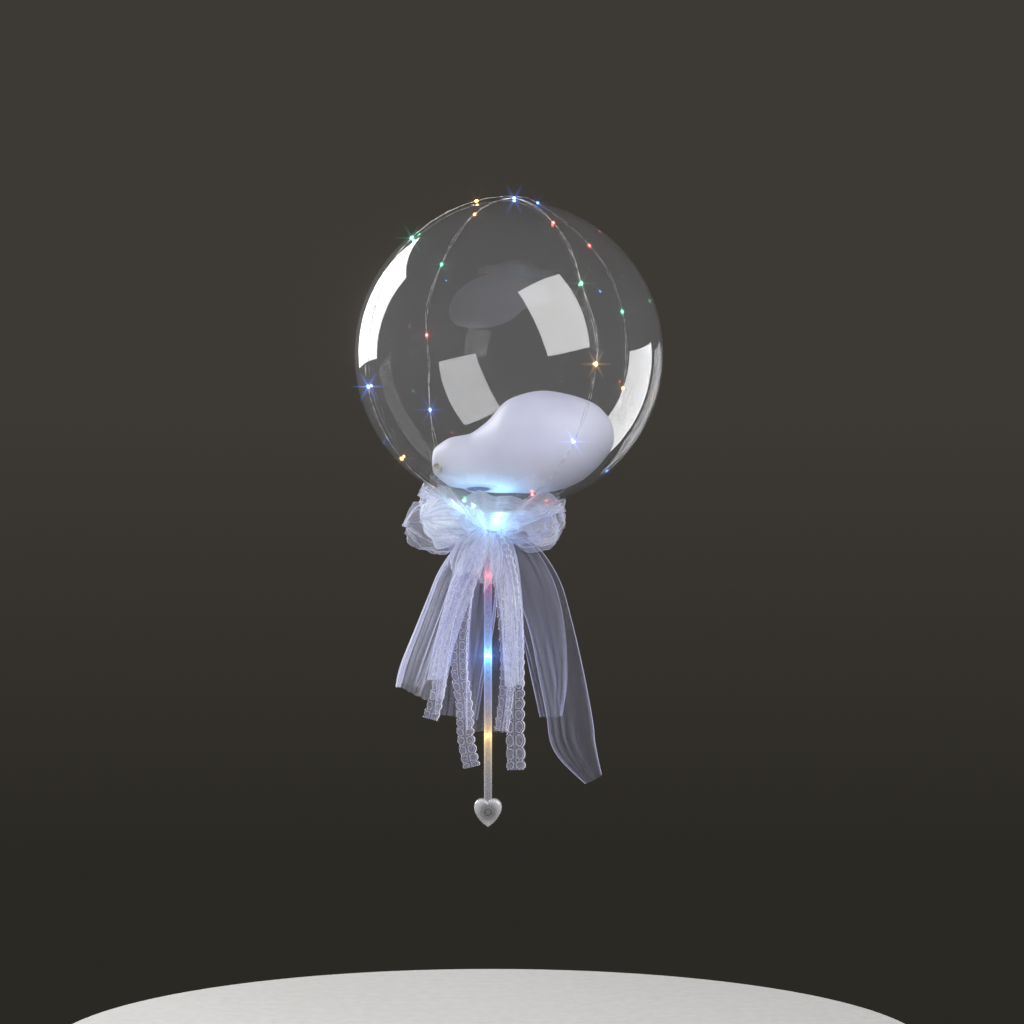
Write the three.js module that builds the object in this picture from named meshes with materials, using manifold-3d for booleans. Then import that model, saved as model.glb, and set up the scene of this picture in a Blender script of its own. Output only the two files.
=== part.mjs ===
// A light-up bubble balloon on a stick. A clear film bubble holds a small white latex balloon. It is tied
// into a clear cup on a clear tube, and the tube stands in a heart-shaped battery handle with a push button.
// A string of thirty lights runs up the tube and twice over the bubble. A tulle and lace bow hides the cup.
//
// Millimetres, +Z up along the tube, -Y the front. The origin is on the tube's axis, where the heart starts.

import * as THREE from "three";
import { mergeVertices } from "three/addons/utils/BufferGeometryUtils.js";
import Module from "manifold-3d";

const wasm = await Module();
wasm.setup();

// ---- driving dimensions ----

const GAP = 0.3; // between pieces that touch
const WELD = 1e-4;
const OVERCUT = 1; // how far a cutting solid reaches past the face it cuts
const LARGE_SIDES = 32;
const MEDIUM_SIDES = 20;
const SMALL_SIDES = 12;

const BUBBLE_RADIUS = 192.5;
const BUBBLE_WALL = 1.0;
const BUBBLE_CENTRE = new THREE.Vector3(26, 0, 557.5);
const BUBBLE_FOOT = new THREE.Vector3(0, 0, 316); // the bubble's axis meets the tube's axis here
const BUBBLE_SIDES = 30;
const BUBBLE_ROWS = 15;
const NECK_TURN = 3; // the film turns from the sphere into the neck within this height
const NECK_RADIUS = 4.6;
const NECK_END = 207.5; // below the bubble's centre, along its axis
const TIE_BOTTOM = NECK_END - 2;
const TIE_HEIGHT = 4;
const TIE_THICKNESS = 1.5;

const LATEX_WALL = 1.0;
const LATEX_SIDES = 18;
const LATEX_ROWS = 17;
const LIP_RADIUS = 4.4;
const LIP_THICKNESS = 1.3;
const LIP_BORE = 2.7;
const LIP_DEPTH = 14;

const TUBE_RADIUS = 5;
const TUBE_BORE = 4;
const TUBE_BOTTOM = -6;
const TUBE_TOP = 344;

const CUP_RIM_RADIUS = 19;
const CUP_RIM_Z = 358;
const CUP_FLOOR_Z = 345.5;
const CUP_WALL = 1.5;
const CUP_STEM_RADIUS = 7.5;
const CUP_STEM_BOTTOM = 318;

const STRING_LENGTH = 3000;
const LIGHT_COUNT = 30;
const LIGHT_PITCH = 100;
const FIRST_LIGHT = 87; // along the string, from the circuit board
const WIRE_RADIUS = 0.5;
const WIRE_SIDES = 5;
const WIRE_STANDOFF = 2.6; // from the film to the string's centreline
const BEAD_RADIUS = 1.9;
const BEAD_BORE = 1.0;
const BEAD_LENGTH = 4.6;
const BEAD_SIDES = 6;
const MERIDIAN_STEP = 8; // degrees
const CROSSING_LIFT = 3; // the second loop passes over the first at the top
const CROSSING_WIDTH = 18; // degrees
const SIDESTEP = 24; // how far beside the top the first loop passes, on the left
const SIDESTEP_FROM = -12; // the heights above the bubble's centre between which it moves over
const SIDESTEP_FULL = 85;
const WINDING_RADIUS = 16.6;
const WINDING_PITCH = 3;
const WINDING_TOP = 352;
const WINDING_SIDES = 24;
const WINDING_START = THREE.MathUtils.degToRad(22);
const WINDING_FLARE = 7; // how much wider than its turns it starts, and how much higher
const WINDING_RISE = 12;
const WINDING_DRAW = 3; // stations over which it draws in

const HEART_HALF_WIDTH = 17.4;
const HEART_LOBE_TOP = 2.6;
const HEART_TIP = -32.3;
const HEART_HALF_THICKNESS = 9;
const HEART_WALL = 1.7;
const HEART_MIDDLE_Z = -14;
const FRONT_BEVEL = 3.4;
const BACK_BEVEL = 1.4;
const SOCKET_RADIUS = 6.6;
const SOCKET_FLOOR = -8;
const SOCKET_TOP = -1;
const WIRE_HOLE_RADIUS = 2.2;

const BUTTON_Z = -13.5;
const BUTTON_RADIUS = 3.9;
const BUTTON_FLANGE_RADIUS = 5;
const BUTTON_PROUD = 1.1;
const SWITCH_SIZE = 6;
const PLUNGER_RADIUS = 1.5;
const BOARD_X = [-9, 9];
const BOARD_Z = [-21, SOCKET_FLOOR - GAP];

const CELL_Z = -16.8;
const CELL_RADIUS = 8;
const CELL_THICKNESS = 3.2;
const FRONT_CONTACT_RADIUS = 4;
const BACK_CONTACT = { clearance: 1, thickness: 0.3, width: 3, reach: 4 };
const COVER_RADIUS = 9;
const COIN_SLOT = { length: 12, width: 1.8, depth: 0.8 };
const LUG_RADIUS = 10.4;
const LUG_WIDTH = 4;
const LUG_TURN = THREE.MathUtils.degToRad(40); // from the locked lugs to the slots that let them out

const SCREW_X = 11.8;
const SCREW_Z = -5;
const SCREW_SHANK = 1.0;
const SCREW_HEAD = 1.9;
const SCREW_SLOT = { length: 2.6, width: 0.6, depth: 0.6 };
const BOSS_RADIUS = 2.7;

// Where each piece of the handle starts and ends, from the front, along Y.
const LEVELS = {
  innerFront: -7.4,
  innerBack: 7.0,
  split: GAP / 2,
  flange: [-7.1, -6.6],
  plunger: [-6.3, -5.1],
  switchBody: [-5.5, -3.7],
  switchBore: [-5.6, -4.1],
  board: [-3.4, -2.4],
  frontContact: [-2.1, -1.8],
  frontCell: [-1.5, -1.5 + CELL_THICKNESS],
  backCell: [2.0, 2.0 + CELL_THICKNESS],
  backContact: [5.5, 5.8],
  coverStep: [6.1, 7.5],
  lugs: [6.1, 6.7],
  cover: [7.4, 9.0],
  screwHead: [7.4, 8.8],
  screwTip: -5.5,
};

const KNOT_RADIUS = 15;
const KNOT_Z = [332, 344];
const CLOTH_THICKNESS = 2;
const PUFF_SIDES = 14;
const PUFF_ROWS = 9;
const LOOPS_LEAN_FROM = 314; // the back loops lean at 45 degrees, from this height on the tube's axis

// ---- materials ----

function material(color, roughness, metalness = 0, opacity = 1) {
  return new THREE.MeshStandardMaterial({
    color,
    roughness,
    metalness,
    opacity,
    transparent: opacity < 1,
  });
}

const LOOKS = {
  film: material(0xe8eef2, 0.04, 0, 0.15),
  latex: material(0xe9e6f2, 0.45),
  clearPlastic: material(0xe4ebee, 0.12, 0, 0.35),
  whitePlastic: material(0xd9d9db, 0.38),
  button: material(0xb9babd, 0.4),
  board: material(0x2f6b3c, 0.55),
  darkPlastic: material(0x26262a, 0.5),
  steel: material(0xb8babd, 0.3, 1),
  wire: material(0xc9ccd2, 0.3, 1),
  bead: material(0xf2f4f8, 0.15, 0, 0.6),
  tulle: material(0xdcdcf0, 0.85, 0, 0.5),
  lace: material(0xe6e3f0, 0.8),
};

// ---- shaping ----

function solidOf(geometry) {
  const bare = geometry.clone();
  bare.deleteAttribute("normal");
  bare.deleteAttribute("uv");
  const welded = mergeVertices(bare, WELD);
  const corners = new Uint32Array(welded.index.array);
  const triVerts = corners.filter((_, i) => isRealTriangle(corners, i - (i % 3)));
  const vertProperties = welded.attributes.position.array;
  return new wasm.Manifold(new wasm.Mesh({ numProp: 3, vertProperties, triVerts }));
}

function isRealTriangle(corners, first) {
  const [a, b, c] = corners.subarray(first, first + 3);
  return a !== b && b !== c && c !== a;
}

function geometryOf(solid) {
  const made = solid.getMesh();
  return new THREE.BufferGeometry()
    .setAttribute("position", new THREE.BufferAttribute(made.vertProperties, 3))
    .setIndex(new THREE.BufferAttribute(made.triVerts, 1));
}

// A body of revolution about Z. The profile is [radius, z] points, running up its outside.
function turned(profile, sides) {
  const points = profile.map(([radius, z]) => new THREE.Vector2(radius, z));
  return new THREE.LatheGeometry(points, sides).rotateX(Math.PI / 2);
}

// A ring about Z with a rectangular section.
function ring(inner, outer, bottom, top, sides) {
  const section = [
    [outer, bottom],
    [outer, top],
    [inner, top],
    [inner, bottom],
    [outer, bottom],
  ];
  return turned(section, sides);
}

// A round rod along Y, from one level to another, at [x, z].
function rodAlongY(radius, [from, to], x, z, sides = MEDIUM_SIDES) {
  return new THREE.CylinderGeometry(radius, radius, to - from, sides).translate(x, (from + to) / 2, z);
}

function block([x0, x1], [y0, y1], [z0, z1]) {
  return new THREE.BoxGeometry(x1 - x0, y1 - y0, z1 - z0).translate(
    (x0 + x1) / 2,
    (y0 + y1) / 2,
    (z0 + z1) / 2,
  );
}

// A front-view outline in X and Z, extruded along Y from one level to another.
function slab(shape, [from, to], bevel = 0) {
  const solid = new THREE.ExtrudeGeometry(shape, {
    depth: to - from - 2 * bevel,
    curveSegments: 6,
    bevelEnabled: bevel > 0,
    bevelSize: bevel,
    bevelThickness: bevel,
    bevelOffset: -bevel,
    bevelSegments: 2,
  });
  return solid.rotateX(Math.PI / 2).translate(0, to - bevel, 0);
}

const group = new THREE.Group();

function add(name, geometry, look, parent = group) {
  const mesh = new THREE.Mesh(geometry, look);
  mesh.name = name;
  parent.add(mesh);
  return mesh;
}

// ---- the bubble and its neck ----

const bubbleAxis = BUBBLE_CENTRE.clone().sub(BUBBLE_FOOT).normalize();
const head = new THREE.Group();
head.position.copy(BUBBLE_CENTRE);
head.quaternion.setFromUnitVectors(new THREE.Vector3(0, 0, 1), bubbleAxis);
group.add(head);

// Points down a circle of this radius, from the top to where it meets a neck of that radius.
function sphereProfile(radius, neckRadius) {
  const last = Math.PI - Math.asin(neckRadius / radius);
  return Array.from({ length: BUBBLE_ROWS + 1 }, (_, i) => {
    const angle = (last * i) / BUBBLE_ROWS;
    return [radius * Math.sin(angle), radius * Math.cos(angle)];
  });
}

function bubbleSkin() {
  const innerRadius = BUBBLE_RADIUS - BUBBLE_WALL;
  const innerNeck = NECK_RADIUS - BUBBLE_WALL;
  const inside = sphereProfile(innerRadius, 2 * innerNeck);
  const outside = sphereProfile(BUBBLE_RADIUS, 2 * NECK_RADIUS).reverse();
  inside[0][0] = 0;
  outside[BUBBLE_ROWS][0] = 0;
  return turned(
    [
      ...inside,
      [innerNeck, -innerRadius - NECK_TURN],
      [innerNeck, -NECK_END],
      [NECK_RADIUS, -NECK_END],
      [NECK_RADIUS, -BUBBLE_RADIUS - NECK_TURN],
      ...outside,
    ],
    BUBBLE_SIDES,
  );
}

function neckTie() {
  const inner = NECK_RADIUS + GAP;
  return ring(inner, inner + TIE_THICKNESS, -TIE_BOTTOM, TIE_HEIGHT - TIE_BOTTOM, MEDIUM_SIDES);
}

add("bubble_skin", bubbleSkin(), LOOKS.film, head);
add("neck_tie", neckTie(), LOOKS.lace, head);

// ---- the latex balloon, a soft pear lying in the bottom of the bubble ----

// Its round sections: how far along X, and their radius.
const LATEX_SECTIONS = [
  [-70, 0],
  [-66, 15],
  [-55, 27],
  [-35, 34],
  [-10, 40],
  [9, 50],
  [28, 57.5],
  [53, 63],
  [84, 63.5],
  [115, 54],
  [140, 36],
  [153, 18],
  [157.5, 0],
];
const LATEX_MIDDLE = 44;
const LATEX_HALF_LENGTH = 114;

// The height of its middle line, which rises towards the large end.
function latexLine(x) {
  const rise = 26 * THREE.MathUtils.smoothstep(x, -35, 60);
  return 422 + rise + 8 * THREE.MathUtils.smoothstep(x, 60, 158);
}

function latexEnvelope(inset) {
  const shrink = 1 - inset / LATEX_HALF_LENGTH;
  const stations = LATEX_SECTIONS.map(
    ([x, radius]) =>
      new THREE.Vector2(Math.max(radius - inset, 0), LATEX_MIDDLE + (x - LATEX_MIDDLE) * shrink),
  );
  const outline = new THREE.SplineCurve(stations).getPoints(LATEX_ROWS);
  outline[0].x = 0;
  outline[outline.length - 1].x = 0;
  const pear = new THREE.LatheGeometry(outline, LATEX_SIDES).rotateZ(-Math.PI / 2);
  const position = pear.attributes.position;
  for (let i = 0; i < position.count; i += 1) {
    position.setZ(i, position.getZ(i) + latexLine(position.getX(i)));
  }
  return solidOf(pear);
}

function latexBalloon() {
  const mouth = new THREE.Vector3(-63, -16.2, 416.5);
  const outward = new THREE.Vector3(-0.6, -0.77, -0.2).normalize();
  const turn = new THREE.Quaternion().setFromUnitVectors(new THREE.Vector3(0, 0, 1), outward);
  const place = (geometry) => solidOf(geometry.applyQuaternion(turn).translate(mouth.x, mouth.y, mouth.z));
  const lip = new THREE.TorusGeometry(LIP_RADIUS, LIP_THICKNESS, 8, LATEX_SIDES);
  const bore = new THREE.CylinderGeometry(LIP_BORE, LIP_BORE, LIP_DEPTH, SMALL_SIDES).rotateX(Math.PI / 2);
  const skin = latexEnvelope(0).subtract(latexEnvelope(LATEX_WALL));
  return geometryOf(skin.add(place(lip)).subtract(place(bore)));
}

add("latex_balloon", latexBalloon(), LOOKS.latex);

// ---- the tube and the cup ----

function balloonCup() {
  const socket = TUBE_RADIUS + GAP;
  const belly = 13; // the bowl's outer radius a third of the way up
  const bellyZ = CUP_FLOOR_Z + 5;
  return turned(
    [
      [CUP_STEM_RADIUS, CUP_STEM_BOTTOM],
      [CUP_STEM_RADIUS, CUP_FLOOR_Z - CUP_WALL],
      [belly - CUP_WALL, CUP_FLOOR_Z],
      [belly, bellyZ],
      [CUP_RIM_RADIUS, CUP_RIM_Z],
      [CUP_RIM_RADIUS - CUP_WALL, CUP_RIM_Z],
      [belly - CUP_WALL, bellyZ + CUP_WALL / 2],
      [belly - 2 * CUP_WALL, CUP_FLOOR_Z + CUP_WALL],
      [socket, CUP_FLOOR_Z],
      [socket, CUP_STEM_BOTTOM],
      [CUP_STEM_RADIUS, CUP_STEM_BOTTOM],
    ],
    MEDIUM_SIDES,
  );
}

add("stick_tube", ring(TUBE_BORE, TUBE_RADIUS, TUBE_BOTTOM, TUBE_TOP, MEDIUM_SIDES), LOOKS.clearPlastic);
add("balloon_cup", balloonCup(), LOOKS.clearPlastic);

// ---- the string of lights ----

// The string's four ways over the film. Each runs from a number of degrees above the neck to the top of
// the bubble, and its compass direction about the bubble's axis drifts a little near the neck and the top.
const CLIMB_1 = { start: 8, neck: 145, side: 122, top: 130 };
const FALL_1 = { start: 20, neck: -66, side: -57, top: -75 };
const CLIMB_2 = { start: 20, neck: -146, side: -154, top: -150 };
const FALL_2 = { start: 8, neck: 32, side: 39, top: 66 };
const DRIFT = 60; // degrees over which the direction drifts
const INNER_LOOP = { sidestep: SIDESTEP };
const OUTER_LOOP = { lift: CROSSING_LIFT };

// A point of the string on the film: degrees up from the neck, and a compass direction about the axis.
function onBubble(fromNeck, direction, { lift = 0, sidestep = 0 } = {}) {
  const down = THREE.MathUtils.degToRad(fromNeck);
  const turn = THREE.MathUtils.degToRad(direction);
  const near = Math.exp(-(((180 - fromNeck) / CROSSING_WIDTH) ** 2));
  const radius = BUBBLE_RADIUS + WIRE_STANDOFF + lift * near;
  const spot = new THREE.Vector3(
    Math.cos(turn) * Math.sin(down),
    Math.sin(turn) * Math.sin(down),
    -Math.cos(down),
  )
    .multiplyScalar(radius)
    .applyQuaternion(head.quaternion);
  spot.x -= sidestep * THREE.MathUtils.smoothstep(spot.z, SIDESTEP_FROM, SIDESTEP_FULL);
  return spot.setLength(radius).add(BUBBLE_CENTRE);
}

// The stations of one way over the film, from the neck up, without the one at the very top.
function wayUp(loop, { start, neck, side, top }) {
  const steps = Math.round((180 - start) / MERIDIAN_STEP);
  return Array.from({ length: steps }, (_, i) => {
    const fromNeck = start + ((180 - start) * i) / steps;
    const nearNeck = Math.max(0, 1 - fromNeck / DRIFT) ** 2;
    const nearTop = Math.max(0, 1 - (180 - fromNeck) / DRIFT) ** 2;
    return onBubble(fromNeck, side + (neck - side) * nearNeck + (top - side) * nearTop, loop);
  });
}

function overTop(loop, climb, fall) {
  return [...wayUp(loop, climb), onBubble(180, 0, loop), ...wayUp(loop, fall).reverse()];
}

const vector = ([x, y, z]) => new THREE.Vector3(x, y, z);

const lengthOf = (points) =>
  points.slice(1).reduce((sum, point, i) => sum + point.distanceTo(points[i]), 0);

// The end of the string, wound round the cup as far as its length allows, drawing in as it leaves the film.
function winding(length) {
  const stations = [];
  for (let i = 0; stations.length < 2 || lengthOf(stations) < length; i += 1) {
    const angle = WINDING_START - (i * 2 * Math.PI) / WINDING_SIDES;
    const loose = Math.exp(-i / WINDING_DRAW);
    const radius = WINDING_RADIUS + WINDING_FLARE * loose;
    stations.push(
      new THREE.Vector3(
        radius * Math.cos(angle),
        radius * Math.sin(angle),
        WINDING_TOP - (i * WINDING_PITCH) / WINDING_SIDES + WINDING_RISE * loose,
      ),
    );
  }
  return stations;
}

function stringRoute() {
  const upTheTube = [
    [0, -1, -5.6],
    [0, 0, 8],
    [0, 0, 325],
    [-0.8, 0.4, 341],
    [-4.5, 3, 349],
    [-8.5, 8, 355.5],
    [-11, 12, 360.5],
    [-13.5, 15, 364.5],
  ].map(vector);
  const pastTheNeck = [
    [17, -76],
    [15.5, -91],
    [15, -106],
    [15.5, -121],
    [17, -136],
  ].map(([fromNeck, direction]) => onBubble(fromNeck, direction));
  const held = [
    ...upTheTube,
    ...overTop(INNER_LOOP, CLIMB_1, FALL_1),
    ...pastTheNeck,
    ...overTop(OUTER_LOOP, CLIMB_2, FALL_2),
  ];
  return [...held, ...winding(STRING_LENGTH - lengthOf(held))];
}

// A path that an extrusion follows from one given station to the next.
class StationPath extends THREE.Curve {
  constructor(stations) {
    super();
    this.stations = stations;
  }

  index(u) {
    return Math.round(u * (this.stations.length - 1));
  }

  getPointAt(u) {
    return this.stations[this.index(u)].clone();
  }

  getTangentAt(u) {
    const i = this.index(u);
    const after = this.stations[Math.min(i + 1, this.stations.length - 1)];
    const before = this.stations[Math.max(i - 1, 0)];
    return after.clone().sub(before).normalize();
  }
}

const route = stringRoute();

function wireTube() {
  const section = new THREE.Shape(
    Array.from({ length: WIRE_SIDES }, (_, i) => {
      const angle = (2 * Math.PI * i) / WIRE_SIDES;
      return new THREE.Vector2(WIRE_RADIUS * Math.cos(angle), WIRE_RADIUS * Math.sin(angle));
    }),
  );
  return new THREE.ExtrudeGeometry(section, {
    steps: route.length - 1,
    extrudePath: new StationPath(route),
    bevelEnabled: false,
  });
}

// The place and direction of the string, this far along it.
function alongString(distance) {
  let left = distance;
  for (let i = 1; i < route.length; i += 1) {
    const stretch = route[i].distanceTo(route[i - 1]);
    if (left <= stretch || i === route.length - 1) {
      const direction = route[i].clone().sub(route[i - 1]).normalize();
      return { place: route[i - 1].clone().addScaledVector(direction, left), direction };
    }
    left -= stretch;
  }
  return null;
}

// A clear drop of resin round the wires, with the light inside it.
function bead() {
  const half = BEAD_LENGTH / 2;
  const shoulder = BEAD_RADIUS * 0.75;
  return turned(
    [
      [BEAD_BORE, -half],
      [shoulder, -half * 0.8],
      [BEAD_RADIUS, 0],
      [shoulder, half * 0.8],
      [BEAD_BORE, half],
      [BEAD_BORE, -half],
    ],
    BEAD_SIDES,
  );
}

add("light_wire", wireTube(), LOOKS.wire);
for (let i = 0; i < LIGHT_COUNT; i += 1) {
  const { place, direction } = alongString(FIRST_LIGHT + i * LIGHT_PITCH);
  const mesh = add(`light_${String(i + 1).padStart(2, "0")}`, bead(), LOOKS.bead);
  mesh.position.copy(place);
  mesh.quaternion.setFromUnitVectors(new THREE.Vector3(0, 0, 1), direction);
}

// ---- the heart-shaped battery handle ----

function heartShape(scale = 1) {
  const x = (value) => value * scale;
  const z = (value) => HEART_MIDDLE_Z + (value - HEART_MIDDLE_Z) * scale;
  const shape = new THREE.Shape();
  const lobeX = 7.6;
  const sideZ = -7.6;
  shape.moveTo(0, z(HEART_TIP));
  const side = HEART_HALF_WIDTH;
  const top = HEART_LOBE_TOP;
  shape.bezierCurveTo(x(12.5), z(-24), x(side), z(-14.5), x(side), z(sideZ));
  shape.bezierCurveTo(x(side), z(-1.6), x(13.2), z(top), x(lobeX), z(top));
  shape.bezierCurveTo(x(5), z(top), x(2.2), z(1.8), 0, z(0));
  shape.bezierCurveTo(x(-2.2), z(1.8), x(-5), z(top), x(-lobeX), z(top));
  shape.bezierCurveTo(x(-13.2), z(top), x(-side), z(-1.6), x(-side), z(sideZ));
  shape.bezierCurveTo(x(-side), z(-14.5), x(-12.5), z(-24), 0, z(HEART_TIP));
  return shape;
}

const ALL_HEART = { x: [-30, 30], z: [-40, 12] };
const FRONT_FACE = -HEART_HALF_THICKNESS;
const BACK_FACE = HEART_HALF_THICKNESS;
const LUG_ROOM = { radius: LUG_RADIUS + GAP, width: LUG_WIDTH + 2 * GAP };

// Half of the hollow heart, between two levels, with the tube's socket and the screws' bosses in it.
function heartHalf(bevel, levels) {
  const outer = slab(heartShape(), [FRONT_FACE, BACK_FACE], bevel);
  const cavityScale = 1 - HEART_WALL / HEART_HALF_WIDTH;
  const cavity = solidOf(slab(heartShape(cavityScale), [LEVELS.innerFront, LEVELS.innerBack]));
  const socket = turned(
    [
      [0, SOCKET_FLOOR],
      [SOCKET_RADIUS, SOCKET_FLOOR],
      [SOCKET_RADIUS, SOCKET_TOP],
      [0, SOCKET_TOP],
    ],
    MEDIUM_SIDES,
  );
  const tubeHole = turned(
    [
      [0, SOCKET_FLOOR - OVERCUT],
      [WIRE_HOLE_RADIUS, SOCKET_FLOOR - OVERCUT],
      [WIRE_HOLE_RADIUS, TUBE_BOTTOM - GAP],
      [TUBE_RADIUS + GAP, TUBE_BOTTOM - GAP],
      [TUBE_RADIUS + GAP, HEART_LOBE_TOP + OVERCUT],
      [0, HEART_LOBE_TOP + OVERCUT],
    ],
    MEDIUM_SIDES,
  );
  const inside = [LEVELS.innerFront - GAP, LEVELS.innerBack + GAP];
  let shell = solidOf(outer).subtract(cavity).add(solidOf(socket));
  for (const x of [-SCREW_X, SCREW_X]) {
    shell = shell.add(solidOf(rodAlongY(BOSS_RADIUS, inside, x, SCREW_Z)));
  }
  const shankHole = [LEVELS.screwTip - GAP, BACK_FACE + OVERCUT];
  const headHole = [LEVELS.screwHead[0] - GAP, BACK_FACE + OVERCUT];
  for (const x of [-SCREW_X, SCREW_X]) {
    shell = shell.subtract(solidOf(rodAlongY(SCREW_SHANK + GAP, shankHole, x, SCREW_Z)));
    shell = shell.subtract(solidOf(rodAlongY(SCREW_HEAD + GAP, headHole, x, SCREW_Z)));
  }
  shell = shell.subtract(solidOf(tubeHole));
  return shell.intersect(solidOf(block(ALL_HEART.x, levels, ALL_HEART.z)));
}

function heartFront() {
  const through = [FRONT_FACE - OVERCUT, LEVELS.innerFront + OVERCUT];
  const hole = rodAlongY(BUTTON_RADIUS + GAP, through, 0, BUTTON_Z, LARGE_SIDES);
  const half = heartHalf(FRONT_BEVEL, [FRONT_FACE - OVERCUT, -LEVELS.split]);
  return geometryOf(half.subtract(solidOf(hole)));
}

// Two lugs on opposite sides of the battery cover, turned about its middle by an angle.
function lugs(radius, width, levels, angle) {
  return block([-radius, radius], levels, [-width / 2, width / 2])
    .rotateY(angle)
    .translate(0, 0, CELL_Z);
}

function heartBack() {
  const through = [LEVELS.innerBack - OVERCUT, BACK_FACE + OVERCUT];
  const hole = rodAlongY(COVER_RADIUS + GAP, through, 0, CELL_Z, LARGE_SIDES);
  const slots = lugs(LUG_ROOM.radius, LUG_ROOM.width, through, LUG_TURN);
  const half = heartHalf(BACK_BEVEL, [LEVELS.split, BACK_FACE + OVERCUT]);
  return geometryOf(half.subtract(solidOf(hole)).subtract(solidOf(slots)));
}

function batteryCover() {
  const { length, width, depth } = COIN_SLOT;
  const coinSlot = block(
    [-length / 2, length / 2],
    [BACK_FACE - depth, BACK_FACE + OVERCUT],
    [CELL_Z - width / 2, CELL_Z + width / 2],
  );
  const disc = solidOf(rodAlongY(COVER_RADIUS, LEVELS.cover, 0, CELL_Z, LARGE_SIDES));
  const step = solidOf(rodAlongY(COVER_RADIUS - 2 * GAP, LEVELS.coverStep, 0, CELL_Z, LARGE_SIDES));
  const hooks = solidOf(lugs(LUG_RADIUS, LUG_WIDTH, LEVELS.lugs, 0));
  return geometryOf(disc.add(step).add(hooks).subtract(solidOf(coinSlot)));
}

function pushButton() {
  const height = [FRONT_FACE - BUTTON_PROUD, LEVELS.flange[1]];
  const cap = rodAlongY(BUTTON_RADIUS, height, 0, BUTTON_Z, LARGE_SIDES);
  const flange = rodAlongY(BUTTON_FLANGE_RADIUS, LEVELS.flange, 0, BUTTON_Z, LARGE_SIDES);
  return geometryOf(solidOf(cap).add(solidOf(flange)));
}

function switchBody() {
  const half = SWITCH_SIZE / 2;
  const body = block([-half, half], LEVELS.switchBody, [BUTTON_Z - half, BUTTON_Z + half]);
  const bore = rodAlongY(PLUNGER_RADIUS + GAP, LEVELS.switchBore, 0, BUTTON_Z);
  return geometryOf(solidOf(body).subtract(solidOf(bore)));
}

// A strip behind the cells that bends forward past their side to the board.
function backContact() {
  const [from, to] = LEVELS.backContact;
  const { clearance, thickness, width, reach } = BACK_CONTACT;
  const sideX = [CELL_RADIUS + clearance, CELL_RADIUS + clearance + thickness];
  const z = [CELL_Z - width / 2, CELL_Z + width / 2];
  const plate = block([-reach, sideX[1]], [from, to], z);
  const arm = block(sideX, [LEVELS.frontContact[0], to], z);
  return geometryOf(solidOf(plate).add(solidOf(arm)));
}

function caseScrew(x) {
  const [from, to] = LEVELS.screwHead;
  const { length, width, depth } = SCREW_SLOT;
  const head = rodAlongY(SCREW_HEAD, [from, to], x, SCREW_Z, SMALL_SIDES);
  const shank = rodAlongY(SCREW_SHANK, [LEVELS.screwTip, to - depth], x, SCREW_Z, SMALL_SIDES);
  const recess = block(
    [x - length / 2, x + length / 2],
    [to - depth, to + OVERCUT],
    [SCREW_Z - width / 2, SCREW_Z + width / 2],
  );
  return geometryOf(solidOf(head).add(solidOf(shank)).subtract(solidOf(recess)));
}

add("heart_front", heartFront(), LOOKS.whitePlastic);
add("heart_back", heartBack(), LOOKS.whitePlastic);
add("battery_cover", batteryCover(), LOOKS.whitePlastic);
add("push_button", pushButton(), LOOKS.button);
add("switch_plunger", rodAlongY(PLUNGER_RADIUS, LEVELS.plunger, 0, BUTTON_Z), LOOKS.darkPlastic);
add("switch_body", switchBody(), LOOKS.darkPlastic);
add("circuit_board", block(BOARD_X, LEVELS.board, BOARD_Z), LOOKS.board);
add("contact_front", rodAlongY(FRONT_CONTACT_RADIUS, LEVELS.frontContact, 0, CELL_Z), LOOKS.steel);
add("coin_cell_front", rodAlongY(CELL_RADIUS, LEVELS.frontCell, 0, CELL_Z, LARGE_SIDES), LOOKS.steel);
add("coin_cell_back", rodAlongY(CELL_RADIUS, LEVELS.backCell, 0, CELL_Z, LARGE_SIDES), LOOKS.steel);
add("contact_back", backContact(), LOOKS.steel);
add("case_screw_left", caseScrew(-SCREW_X), LOOKS.steel);
add("case_screw_right", caseScrew(SCREW_X), LOOKS.steel);

// ---- the bow ----

// A gathered handful of net, as the smooth solid it fills.
function puff([x, y, z], [halfX, halfY, halfZ]) {
  return new THREE.SphereGeometry(1, PUFF_SIDES, PUFF_ROWS).scale(halfX, halfY, halfZ).translate(x, y, z);
}

// The net loops that stand up behind the neck, as one band that leans back clear of the bubble.
function backLoops() {
  const outline = new THREE.Shape(
    [
      [-16, 336],
      [16, 336],
      [60, 342],
      [88, 358],
      [95, 384],
      [78, 384],
      [48, 368],
      [18, 358],
      [-22, 360],
      [-46, 378],
      [-62, 401],
      [-80, 388],
      [-86, 364],
      [-56, 344],
    ].map(([x, z]) => new THREE.Vector2(x, z)),
  );
  return leaned(slab(outline, [0, CLOTH_THICKNESS]), (z) => z - LOOPS_LEAN_FROM);
}

// Moves a slab along Y by an amount that depends on height.
function leaned(geometry, depthAt) {
  const position = geometry.attributes.position;
  for (let i = 0; i < position.count; i += 1) {
    position.setY(i, position.getY(i) + depthAt(position.getZ(i)));
  }
  return geometry;
}

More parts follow.
